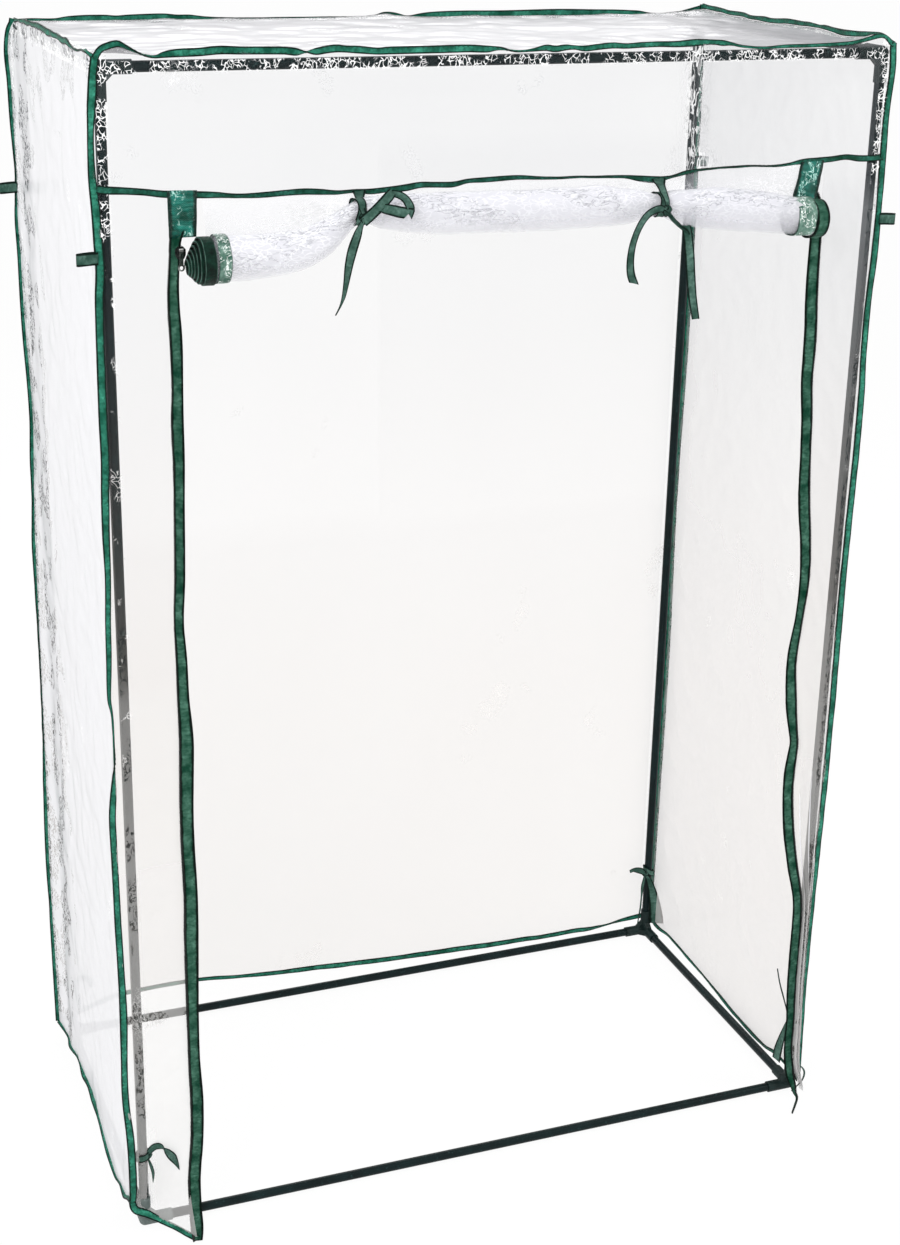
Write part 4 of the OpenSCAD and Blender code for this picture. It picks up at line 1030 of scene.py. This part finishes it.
zipLook = {"width": 0.0172, "thick": 0.0012, "ripple": 0.0009, "curl": 0.0006, "step": 0.02, "inset": 0.0063,
           "proud": 0.0012}
coilLook = {"pitch": 0.0021, "size": (0.0017, 0.0012, 0.0009), "uneven": 0.06}
zips = {
    "leftZipTape": {"node": "zip_tape_left", "edge": "zipLeft", "inward": 1, "top": 1.275,
                    "facing": lambda p: Vector((0, -0.92, 0.39)) if p.z > 0.012 else Vector((0, -0.3, 1)),
                    "crown": [(-404, -253.5, 1316, 0.8, 0)],
                    "tail": [(-421, -263, 18, 0.98, 0), (-423, -276, 7, 0.98, 0), (-426, -290, 3.6, 0.9, 0),
                             (-429, -305, 3.3, 0.7, 0)]},
    "rightZipTape": {"node": "zip_tape_right", "edge": "zipRight", "inward": -1, "top": 1.205,
                     "facing": -alongY, "crown": [
                         (397, -254, 1318, 1.0, 0), (404, -256, 1300, 1.0, 0), (405, -255, 1275, 1.0, 0)],
                     "tail": [(477, -258, 30, 0.7, 10), (481, -262, 15, 0.5, 30), (482, -266, 6, 0.3, 60),
                              (479, -278, 3.2, 0.16, 80), (468, -292, 2.8, 0.14, 80),
                              (455, -307, 2.6, 0.1, 80)]}}
coilLines = []
for name, look in zips.items():
    edge, inward, at = coverEdges[look["edge"]], look["inward"], look["top"]
    rows = fromMiddle(look["crown"])
    while at > zipLook["step"]:
        pull, wide, twist = edgePull(look["edge"], at)
        spot = edge["start"] + edge["along"] * at + pull
        rows.append([*(spot + alongX * inward * zipLook["inset"] - alongY * zipLook["proud"]), wide, twist])
        at -= zipLook["step"]
    shape = newShape()
    spine = addTape(shape, rows + fromMiddle(look["tail"]), zipLook, look["facing"])
    coilLines += [alongSpine(spine, inward * 0.9, lift, 0.002) for lift in (0.0009, -0.0009)]
    stitchLines.append(alongSpine(spine, inward * -0.5, 0.0008, 0.003))
    finishPiece(name, shape, [zipTape], coverBody, [look["node"]], "zip_tape")
beads("zipCoils", coilLines, coilLook, coilPlastic, coverBody, "zip_tape")
print("zips made")


# rolled door: one sheet that hangs from the seam and winds into a roll pinched by two ties

rollLook = {
    "turns": 12, "core": 4.0, "columns": 100, "around": 26, "hanging": 22,
    "film": (-372, 378), "seam": (-378, 384), "necks": (-205, 172), "flat": (0.79, 1.33),
    "stations": [  # x, height of the axis and radius in mm
        (-395, 1283, 27.5), (-372, 1283, 28), (-330, 1284, 26.5), (-271, 1289, 24), (-238, 1304, 21),
        (-205, 1328, 13.5), (-176, 1327, 19.5), (-120, 1323, 24.5), (-30, 1321, 25), (97, 1322, 25),
        (140, 1321, 20), (170, 1321, 13), (200, 1317, 20.5), (250, 1313, 26.5), (320, 1305, 25.5),
        (378, 1297, 24.5), (396, 1296, 24)]}


def rollAt(x):
    rows = rollLook["stations"]
    return between([row[0] for row in rows], [row[1:] for row in rows], x)


def nearNeck(x, reach):
    return max(math.exp(-((x - neck) / reach) ** 2) for neck in rollLook["necks"])


def rollPoint(x, turn, spread=1.0):  # a place on the wound film, by turns from where it leaves the curtain
    z, radius = rollAt(x)
    angle = turn * math.tau
    share = turn / rollLook["turns"]
    r = radius * (1 - share) + rollLook["core"] * share
    around = Vector((x * 0.02, math.cos(angle) * 1.1, math.sin(angle) * 1.1))
    neck = nearNeck(x, 32)
    pinched = 0.09 * neck * math.sin(angle * 7 + x * 0.05) + 0.05 * neck * math.sin(angle * 12 - x * 0.08)
    crumple = 0.045 * noise.noise(around * 1.3) + 0.02 * noise.noise(around * 4.1)
    creases = -0.05 * max(0.0, 0.25 - abs(noise.noise(Vector((x * 0.013, angle % math.tau * 1.5, 2.7))))) * 4
    r *= spread * (1 + pinched + (crumple + creases) * min(abs(x + 400) / 30, 1))
    return mm(x, rollMm + r * math.cos(angle), z - r * math.sin(angle))


def hangPoint(x, seamX, down):  # a place on the curtain between the seam and the roll
    top = mm(seamX, 0, 0)
    top.y = filmFront - 0.0012
    top.z = seamLine + edgePull("seam", top.x - filmLeft)[0].z - 0.001
    spot = top.lerp(rollPoint(x, 0.0), down ** 1.35)
    slack = math.sin(math.pi * down)
    spot.y += (noise.noise(Vector((x * 0.022, down * 1.3, 5))) * 0.004 - 0.001) * slack
    return spot


def doorMarks(x, hanging, value):  # how creased, streaked and milky; the inner turns let light through
    gathered = nearNeck(x, 60)
    side = 0.35 * math.exp(-((x + 300) / 70) ** 2)
    if hanging:
        shown = min(value * 1.5, 1)
        return (0.2 + 0.5 * gathered) * shown, (0.1 + 0.4 * gathered) * shown, 0.08 + 0.2 * value
    share = max(0.0, 1 - value / 2.2)
    under = math.sin(value % 1 * math.tau)
    # the film is made clearer on the underside so the white ground shows through and the shaded underside of
    # the roll comes out pale, a painted lightening of its shade
    lit = 0.55 - 0.45 * under  # the underside lets more of the ground through
    # the crease lines, partly painted highlights, and the dark strokes of painted shade are kept to the upper
    # side of each turn
    above = max(0.0, 0.5 - 0.6 * under)
    return ((0.4 + 0.2 * gathered + side) * share ** 0.5 * min(above, 1),
            (0.75 + 0.2 * gathered + side) * share ** 0.5 * above,
            0.8 * share ** 0.6 * max(min(lit, 0.95), 0.12))


def makeDoorFilm(look):
    columns, around, hanging = look["columns"], look["around"], look["hanging"]
    rows = [(True, j / hanging) for j in range(hanging)]
    rows += [(False, j / around) for j in range(look["turns"] * around + 1)]
    left, right = look["film"]
    seamLeft, seamRight = look["seam"]
    points, marks = [], []
    for hangs, value in rows:
        for i in range(columns + 1):
            share = i / columns
            x = left + (right - left) * share
            seamX = seamLeft + (seamRight - seamLeft) * share
            points.append(hangPoint(x, seamX, value) if hangs else rollPoint(x, value))
            marks.append(doorMarks(x, hangs, value))
    mesh = gridMesh("doorFilm", points, columns, len(rows) - 1, zip(*marks))
    piece = addPiece("doorFilm", mesh, [woundFilm], None, ["door_curtain", "door_roll"], "clear_film")
    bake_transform(piece)


makeDoorFilm(rollLook)


def axisOfRoll(point):  # the face of the wound tape looks away from the axis
    centre = mm(point.x * 1000, rollMm, rollAt(point.x * 1000)[0])
    return Vector((0, point.y - centre.y, point.z - centre.z)).normalized()


spiralLook = {"turns": 6, "steps": 36, "core": 7.0, "proud": 1.03, "sag": 7.0, "thick": 0.0013,
              "ripple": 0.0004, "sleeve": 0.0006}
doorEdges = {
    "leftDoorEdge": {"node": "door_edge_left", "x": -378.5, "outwards": -1, "telescope": 19, "width": 0.0135,
                     "tape": rolledEdgeTape, "sleeveInset": 13, "sleeveWidth": 0.0145},
    "rightDoorEdge": {"node": "door_edge_right", "x": 384, "outwards": 1, "telescope": 8, "width": 0.0185,
                      "tape": zipTape, "sleeveInset": 20, "sleeveWidth": 0.026}}


def woundEdge(name, edge):  # the door's zip tape winds with the film, each turn further out
    look = dict(spiralLook, width=edge["width"])
    x, outwards = edge["x"], edge["outwards"]
    z, radius = rollAt(x)
    shape = newShape()
    rows = []
    for k in range(look["turns"] * look["steps"] + 1):
        share = k / (look["turns"] * look["steps"])
        angle = k / look["steps"] * math.tau
        r = (radius * (1 - share) + look["core"] * share) * look["proud"]
        swirl = Vector((math.cos(angle) * 1.3, math.sin(angle) * 1.3, share * 4 + x * 0.01))
        r *= 1 + 0.05 * noise.noise(swirl)
        out = outwards * edge["telescope"] * share ** 0.7
        sunk = z - share * look["sag"] - r * math.sin(angle)
        rows.append([*mm(x + out, rollMm + r * math.cos(angle), sunk), 1.0, 0.0])
    spine = addTape(shape, rows, look, axisOfRoll, step=0.0042)
    covered = [[*rollPoint(x - outwards * edge["sleeveInset"], k / 30, 1.03), 1.0, 0.0] for k in range(31)]
    sleeve = dict(look, width=edge["sleeveWidth"], thick=look["sleeve"])
    addTape(shape, covered, sleeve, axisOfRoll, paint=1, step=0.004)
    coil = alongSpine(spine, outwards * 0.95, -0.0012, 0.002)
    finishPiece(name, shape, [edge["tape"], veiledTape], doorBody, [edge["node"]], "zip_tape")
    return coil


beads("doorCoils", [woundEdge(name, edge) for name, edge in doorEdges.items()],
      dict(coilLook, size=(0.0011, 0.0009, 0.0008), pitch=0.0024), coilPlastic, doorBody, "zip_tape")
print("rolled door made")


# ribbons: a ring round each neck of the roll, a strap from the seam, a knot, bows and tails.
# Rows hold x, y, z in mm, the share of the width, the twist and the slant of a cut end

ribbonLook = {"width": 0.0125, "thick": 0.0011, "ripple": 0.0006, "curl": 0.0007}
tabLook = {"width": 0.0145, "thick": 0.0013, "ripple": 0.0003}
knotLook = {"thick": 0.0016, "facing": (0.2, -1, 0.1)}
toFront, toLeft = (0, -1, 0), (-1, 0, 0)


def ribbon(shape, rows, facing, look=ribbonLook, **changes):
    facing = facing if callable(facing) else Vector(facing)
    addTape(shape, fromMiddle(rows), dict(look, **changes), facing, step=0.0022)


def knot(shape, x, y, z, size, width):  # a small overhand knot
    rows = []
    for k in range(41):
        a = k / 40 * math.tau
        rows.append((x + size * (math.sin(a) + 1.6 * math.sin(2 * a)) / 2.6,
                     y - size * 0.45 * math.sin(3 * a),
                     z + size * (math.cos(a) - 1.6 * math.cos(2 * a)) / 2.6))
    ribbon(shape, rows, knotLook["facing"], width=width, thick=knotLook["thick"])


def postRing(shape, x, y, z, slope):  # a ribbon pulled round a post
    rows = [(x + 8.2 * math.cos(a), y + 8.2 * math.sin(a), z + slope * math.cos(a), 0.8)
            for a in [k * math.tau / 32 for k in range(33)]]
    centre = mm(x, y, z)
    ribbon(shape, rows, lambda p: Vector((p.x - centre.x, p.y - centre.y, 0)), ripple=0.0003)


shape = newShape()
for neck in rollLook["necks"]:
    height, radius = rollAt(neck)
    rows = [(neck + 1.5 * math.sin(a * 2), rollMm + (radius + 1.0) * math.cos(a),
             height - (radius + 1.0) * math.sin(a), 0.9 + 0.1 * math.sin(a * 3))
            for a in [k * math.tau / 40 for k in range(41)]]
    ribbon(shape, rows, axisOfRoll, ripple=0.0003)
finishPiece("neckRings", shape, [ribbonTape], doorBody, ["roll_bands"], "ribbon")

rollTies = {
    "leftRollTie": {"node": "roll_tie_left", "knot": (-206, -306, 1325, 4.5, 0.006), "strips": [
        ((0, -0.6, 0.8), [
            (-195, -253.6, 1348, 1.35), (-195.5, -255, 1345, 1.25), (-198, -264, 1342.5, 1),
            (-202, -280, 1339.5, 0.75), (-204.5, -293, 1334, 0.55, 5), (-205, -301, 1328, 0.4, 10),
            (-205, -304, 1322, 0.35, 15)]),
        ((0.1, -1, 0.25), [
            (-208, -308, 1321.5), (-201, -310.5, 1328), (-192, -312, 1336.5, 1, 4),
            (-184, -311.5, 1344, 1, 4), (-177, -309.5, 1350, 0.95), (-173, -307, 1353, 0.8)]),
        ((0.1, -1, 0.3), [
            (-193, -309, 1336.5, 0.5), (-186, -312.5, 1336, 0.85), (-178, -315, 1334.5),
            (-168, -316.5, 1332, 1.05), (-160, -317, 1330.5, 1.05, 0, -3), (-157, -317, 1330, 1.05, 0, -6)]),
        ((0.25, -1, 0.35), [
            (-156.5, -315.6, 1329.5, 0.9, 0, -5), (-155, -315.4, 1335), (-157, -314, 1341, 0.95),
            (-161, -311.5, 1346.5, 0.85), (-167, -308.5, 1350, 0.75), (-174, -305, 1351, 0.6)]),
        (toFront, [
            (-207, -307, 1323, 0.35), (-211.5, -310, 1317, 0.5, 12), (-216, -312, 1307, 0.78, 20),
            (-221.5, -312.5, 1292, 0.88, 20), (-226, -313, 1275, 0.78, 12), (-229, -313, 1257, 0.6),
            (-232, -313, 1241, 0.42, -6), (-236, -313, 1230, 0.2, -8), (-242, -313, 1219, 0.06, -8)])]},
    "rightRollTie": {"node": "roll_tie_right", "knot": (169, -305.5, 1318, 5.0, 0.006), "strips": [
        ((0, -0.6, 0.8), [
            (183, -253.6, 1348, 1.5), (182.5, -255, 1345, 1.45), (179.5, -263, 1343, 1.25),
            (175.5, -277, 1340.5, 1, -5), (173, -290, 1335, 0.85, -8), (173, -299, 1328, 0.6, -8),
            (172, -303.5, 1319, 0.4)]),
        ((-0.3, -1, 0.1), [
            (166, -307, 1319, 0.5), (160, -310, 1321, 0.75, -12), (150, -313, 1320, 0.8, -20),
            (140, -315, 1315, 0.78, -25), (132, -315.5, 1305, 0.7, -20), (126.5, -315, 1292, 0.66, -12),
            (123, -314.5, 1277, 0.66), (122, -314, 1260, 0.72, 10), (124, -313.5, 1246, 0.8, 14),
            (128.5, -313, 1235, 0.82, 14, -3)]),
        *[(toFront, [
            (168 + strand, -307, 1317, 0.2), (175 + strand, -311, 1308, 0.22, 20),
            (184 + strand, -313, 1300, 0.22, 40), (193 + strand * 0.5, -313.5, 1294, 0.3, 30),
            (197, -313, 1289, 0.3, 10)]) for strand in (0, 3.4)],
        (toFront, [
            (193.5, -311, 1300, 1, 0, -1.2), (195, -312.8, 1293), (198, -313.6, 1276),
            (200.5, -314, 1258, 1, 3), (203, -314, 1238, 0.98), (206.5, -313.5, 1216, 0.95, -4),
            (210, -313, 1201, 0.92, -8), (213.5, -312.5, 1187, 0.9, -10, -1.5)])]}}
bottomTies = {
    "frontLeftTie": {"node": "bottom_tie_front_left", "ring": (-postMm, frontMm, 108, 2),
                     "knot": (-478, -246.5, 108, 3.2, 0.005), "strips": [
        (toFront, [
            (-479, -247.5, 110, 0.45), (-475, -248, 117, 0.8, 8), (-468, -248.5, 121.5, 0.95, 10),
            (-461, -248.5, 119, 0.6, 10), (-457, -248.5, 115, 0.16, 60)]),
        (toFront, [
            (-457.5, -248.5, 115.5, 0.16), (-453, -248.5, 110, 0.7, 10), (-447, -248, 100, 0.9),
            (-441.5, -247.5, 88, 0.5, -10), (-438, -247, 77, 0.08, -10)]),
        (toFront, [
            (-479, -247, 104, 0.2), (-475.5, -247.5, 93, 0.32), (-473, -248, 81, 0.32, 10),
            (-473.5, -248, 66, 0.06, 10)])]},
    "frontRightTie": {"node": "bottom_tie_front_right", "ring": (postMm, frontMm, 110, -2),
                      "knot": (postMm - 5, -237, 108, 3.2, 0.005), "strips": [
        (toLeft, [
            (480, -235, 109, 0.4), (479.5, -230, 92, 0.8), (478.5, -224, 70, 1.3), (477.5, -219, 46, 1.7),
            (477, -218, 33, 1.75, 0, 2)]),
        (toFront, [
            (479, -236, 109, 0.2), (475, -237, 128, 0.14), (467, -238, 152, 0.14, 10), (458, -239, 178, 0.14),
            (451, -240, 205, 0.14)]),
        (toFront, [
            (479, -262, 6, 0.14, 60), (487, -263, 14, 0.2, 40), (495, -263, 22, 0.28, 20),
            (498, -262.5, 34, 0.24), (493, -262, 44, 0.16), (488, -261, 46, 0.08)])]},
    "backRightTie": {"node": "bottom_tie_back_right", "ring": (postMm, backMm, 118, -5),
                     "knot": (476, 236, 116, 3.6, 0.006), "strips": [
        (toFront, [
            (475, 235, 117, 0.5), (468, 234, 124, 0.85), (459, 233.5, 128, 0.8), (452, 233.5, 129, 0.55),
            (446, 233.5, 127, 0.5)]),
        ((-0.35, -1, 0), [
            (478, 235, 114, 0.45), (483.5, 233, 103, 0.75, 4), (489, 231.5, 84, 1.1), (494, 231, 62, 1.45),
            (498, 230.5, 38, 1.8), (500, 230.5, 22, 1.9, 0, -2)]),
        (toFront, [
            (474, 234, 112, 0.3), (471, 233, 96, 0.45, 10), (469.5, 232, 78, 0.22, 20), (468, 231, 58, 0.2),
            (465, 230, 38, 0.14), (464, 230, 27, 0.14)])]},
    "backLeftTie": {"node": "bottom_tie_back_left", "ring": (-postMm, backMm, 96, 3),
                    "knot": (-478, 236, 96, 3.6, 0.006), "strips": [
        (toFront, [
            (-477, 235, 97, 0.5), (-469, 233.5, 104, 0.8), (-459, 233, 98, 0.9), (-455, 233, 84, 0.4)]),
        (toFront, [
            (-478, 235, 94, 0.5), (-480, 233, 82, 0.9), (-478, 232.5, 68, 0.9), (-476, 232, 54, 0.4)])]}}


def makeTies(looks):
    for name, look in looks.items():
        shape = newShape()
        if "ring" in look:
            postRing(shape, *look["ring"])
        knot(shape, *look["knot"])
        for facing, rows in look["strips"]:
            ribbon(shape, rows, facing)
        finishPiece(name, shape, [ribbonTape], coverBody, [look["node"]], "ribbon")


makeTies(rollTies)
tabHeight = 1285
shape = newShape()
for y in ((filmFront - midY) * 1000 - 1.5, (filmBack - midY) * 1000 + 1.5):
    for sideX in (-1, 1):
        near = abs((filmRight if sideX > 0 else filmLeft) * 1000) + 2
        outline = [(0, 1.6, 0), (6, 2, 0), (15, 1.9, 0.5), (21.5, 1.3, 1)]  # half a loop: out, apart, down
        loop = [(out, -apart, down) for out, apart, down in outline] + [(23.5, 0, 1)] + outline[::-1]
        centre = mm(sideX * (near + 10), y, tabHeight)
        ribbon(shape, [(sideX * (near + out), y + apart, tabHeight - down) for out, apart, down in loop],
               lambda p, c=centre: Vector(((p.x - c.x) * 0.05, p.y - c.y, 0)), tabLook)
finishPiece("guyTabs", shape, [ribbonTape], coverBody, ["guy_tabs"], "ribbon")
makeTies(bottomTies)
print("ribbons and tabs made")


# glossy patches sewn over the tops of the zips

patchLook = {"thick": 0.0011, "cells": 14, "proud": 0.0012, "stitchProud": 0.0022,
             "stitches": ((0.1, 0.06), (0.9, 0.06), (0.9, 0.94), (0.1, 0.94), (0.1, 0.06))}
patches = {  # corners in mm: top left, top right, bottom right, bottom left
    "leftZipPatch": ("zip_patch_left", [(-417, -253.6, 1356), (-383, -253.6, 1355), (-385, -253.6, 1304),
                                        (-416, -253.6, 1303)]),
    "rightZipPatch": ("zip_patch_right", [(377, -254.2, 1360), (409, -253.6, 1361), (400, -255, 1306),
                                          (366, -257, 1316)])}


def patch(name, node, corners):
    shape = newShape()
    uvLayer = shape.loops.layers.uv["tape"]
    n = patchLook["cells"]
    topLeft, topRight, lowRight, lowLeft = [mm(*corner) for corner in corners]

    def onPatch(u, v):
        return topLeft.lerp(topRight, u).lerp(lowLeft.lerp(lowRight, u), v)

    layers = []
    for lift in (0.5, -0.5):
        grid = []
        for j in range(n + 1):
            line = []
            for i in range(n + 1):
                u, v = i / n, j / n
                spot = onPatch(u, v)
                thin = min(1.0, 0.4 + min(u, 1 - u, v, 1 - v) * 8)
                wave = noise.noise(spot * 95) * 0.0013 + noise.noise(spot * 240) * 0.0005
                proud = wave + patchLook["thick"] * lift * thin + patchLook["proud"]
                line.append(shape.verts.new(spot - alongY * proud))
            grid.append(line)
        layers.append(grid)
        for j in range(n):
            for i in range(n):
                quad = shape.faces.new((grid[j][i], grid[j][i + 1], grid[j + 1][i + 1], grid[j + 1][i]))
                for loop, (a, b) in zip(quad.loops, ((i, j), (i + 1, j), (i + 1, j + 1), (i, j + 1))):
                    loop[uvLayer].uv = (a / n, b / n * 4.8)
    front, rear = layers
    rim = [(0, i) for i in range(n)] + [(j, n) for j in range(n)] + [(n, n - i) for i in range(n)] \
        + [(n - j, 0) for j in range(n)]
    for (j, i), (nextJ, nextI) in zip(rim, rim[1:] + rim[:1]):
        shape.faces.new((front[j][i], front[nextJ][nextI], rear[nextJ][nextI], rear[j][i]))
    finishPiece(name, shape, [patchTape], coverBody, [node], "binding")
    inset = [onPatch(u, v) - alongY * patchLook["stitchProud"] for u, v in patchLook["stitches"]]
    for a, b in zip(inset, inset[1:]):
        stitchLines.append([a.lerp(b, k / 12) for k in range(13)])


for name, (node, corners) in patches.items():
    patch(name, node, corners)
beads("stitches", stitchLines, stitchLook, stitchThread, coverBody, "binding")
print("patches and stitches made")


# the frame's own tubes, connectors and zip metal keep their shapes and take their finishes

# the front left foot connector takes the paler plastic with the painted floor reflection
finishes = {"post_": tubePaint, "rail_": tubePaint, "corner_": connectorPlastic,
            "corner_front_left_bottom": floorReflectionPlastic, "zip_slider": sliderMetal, "zip_pull": zipMetal}
for start, material in finishes.items():
    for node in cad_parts:
        if node.startswith(start) and node != "corner_bindings":
            for slot in bpy.data.objects[node].material_slots:
                slot.material = material
print("frame dressed")
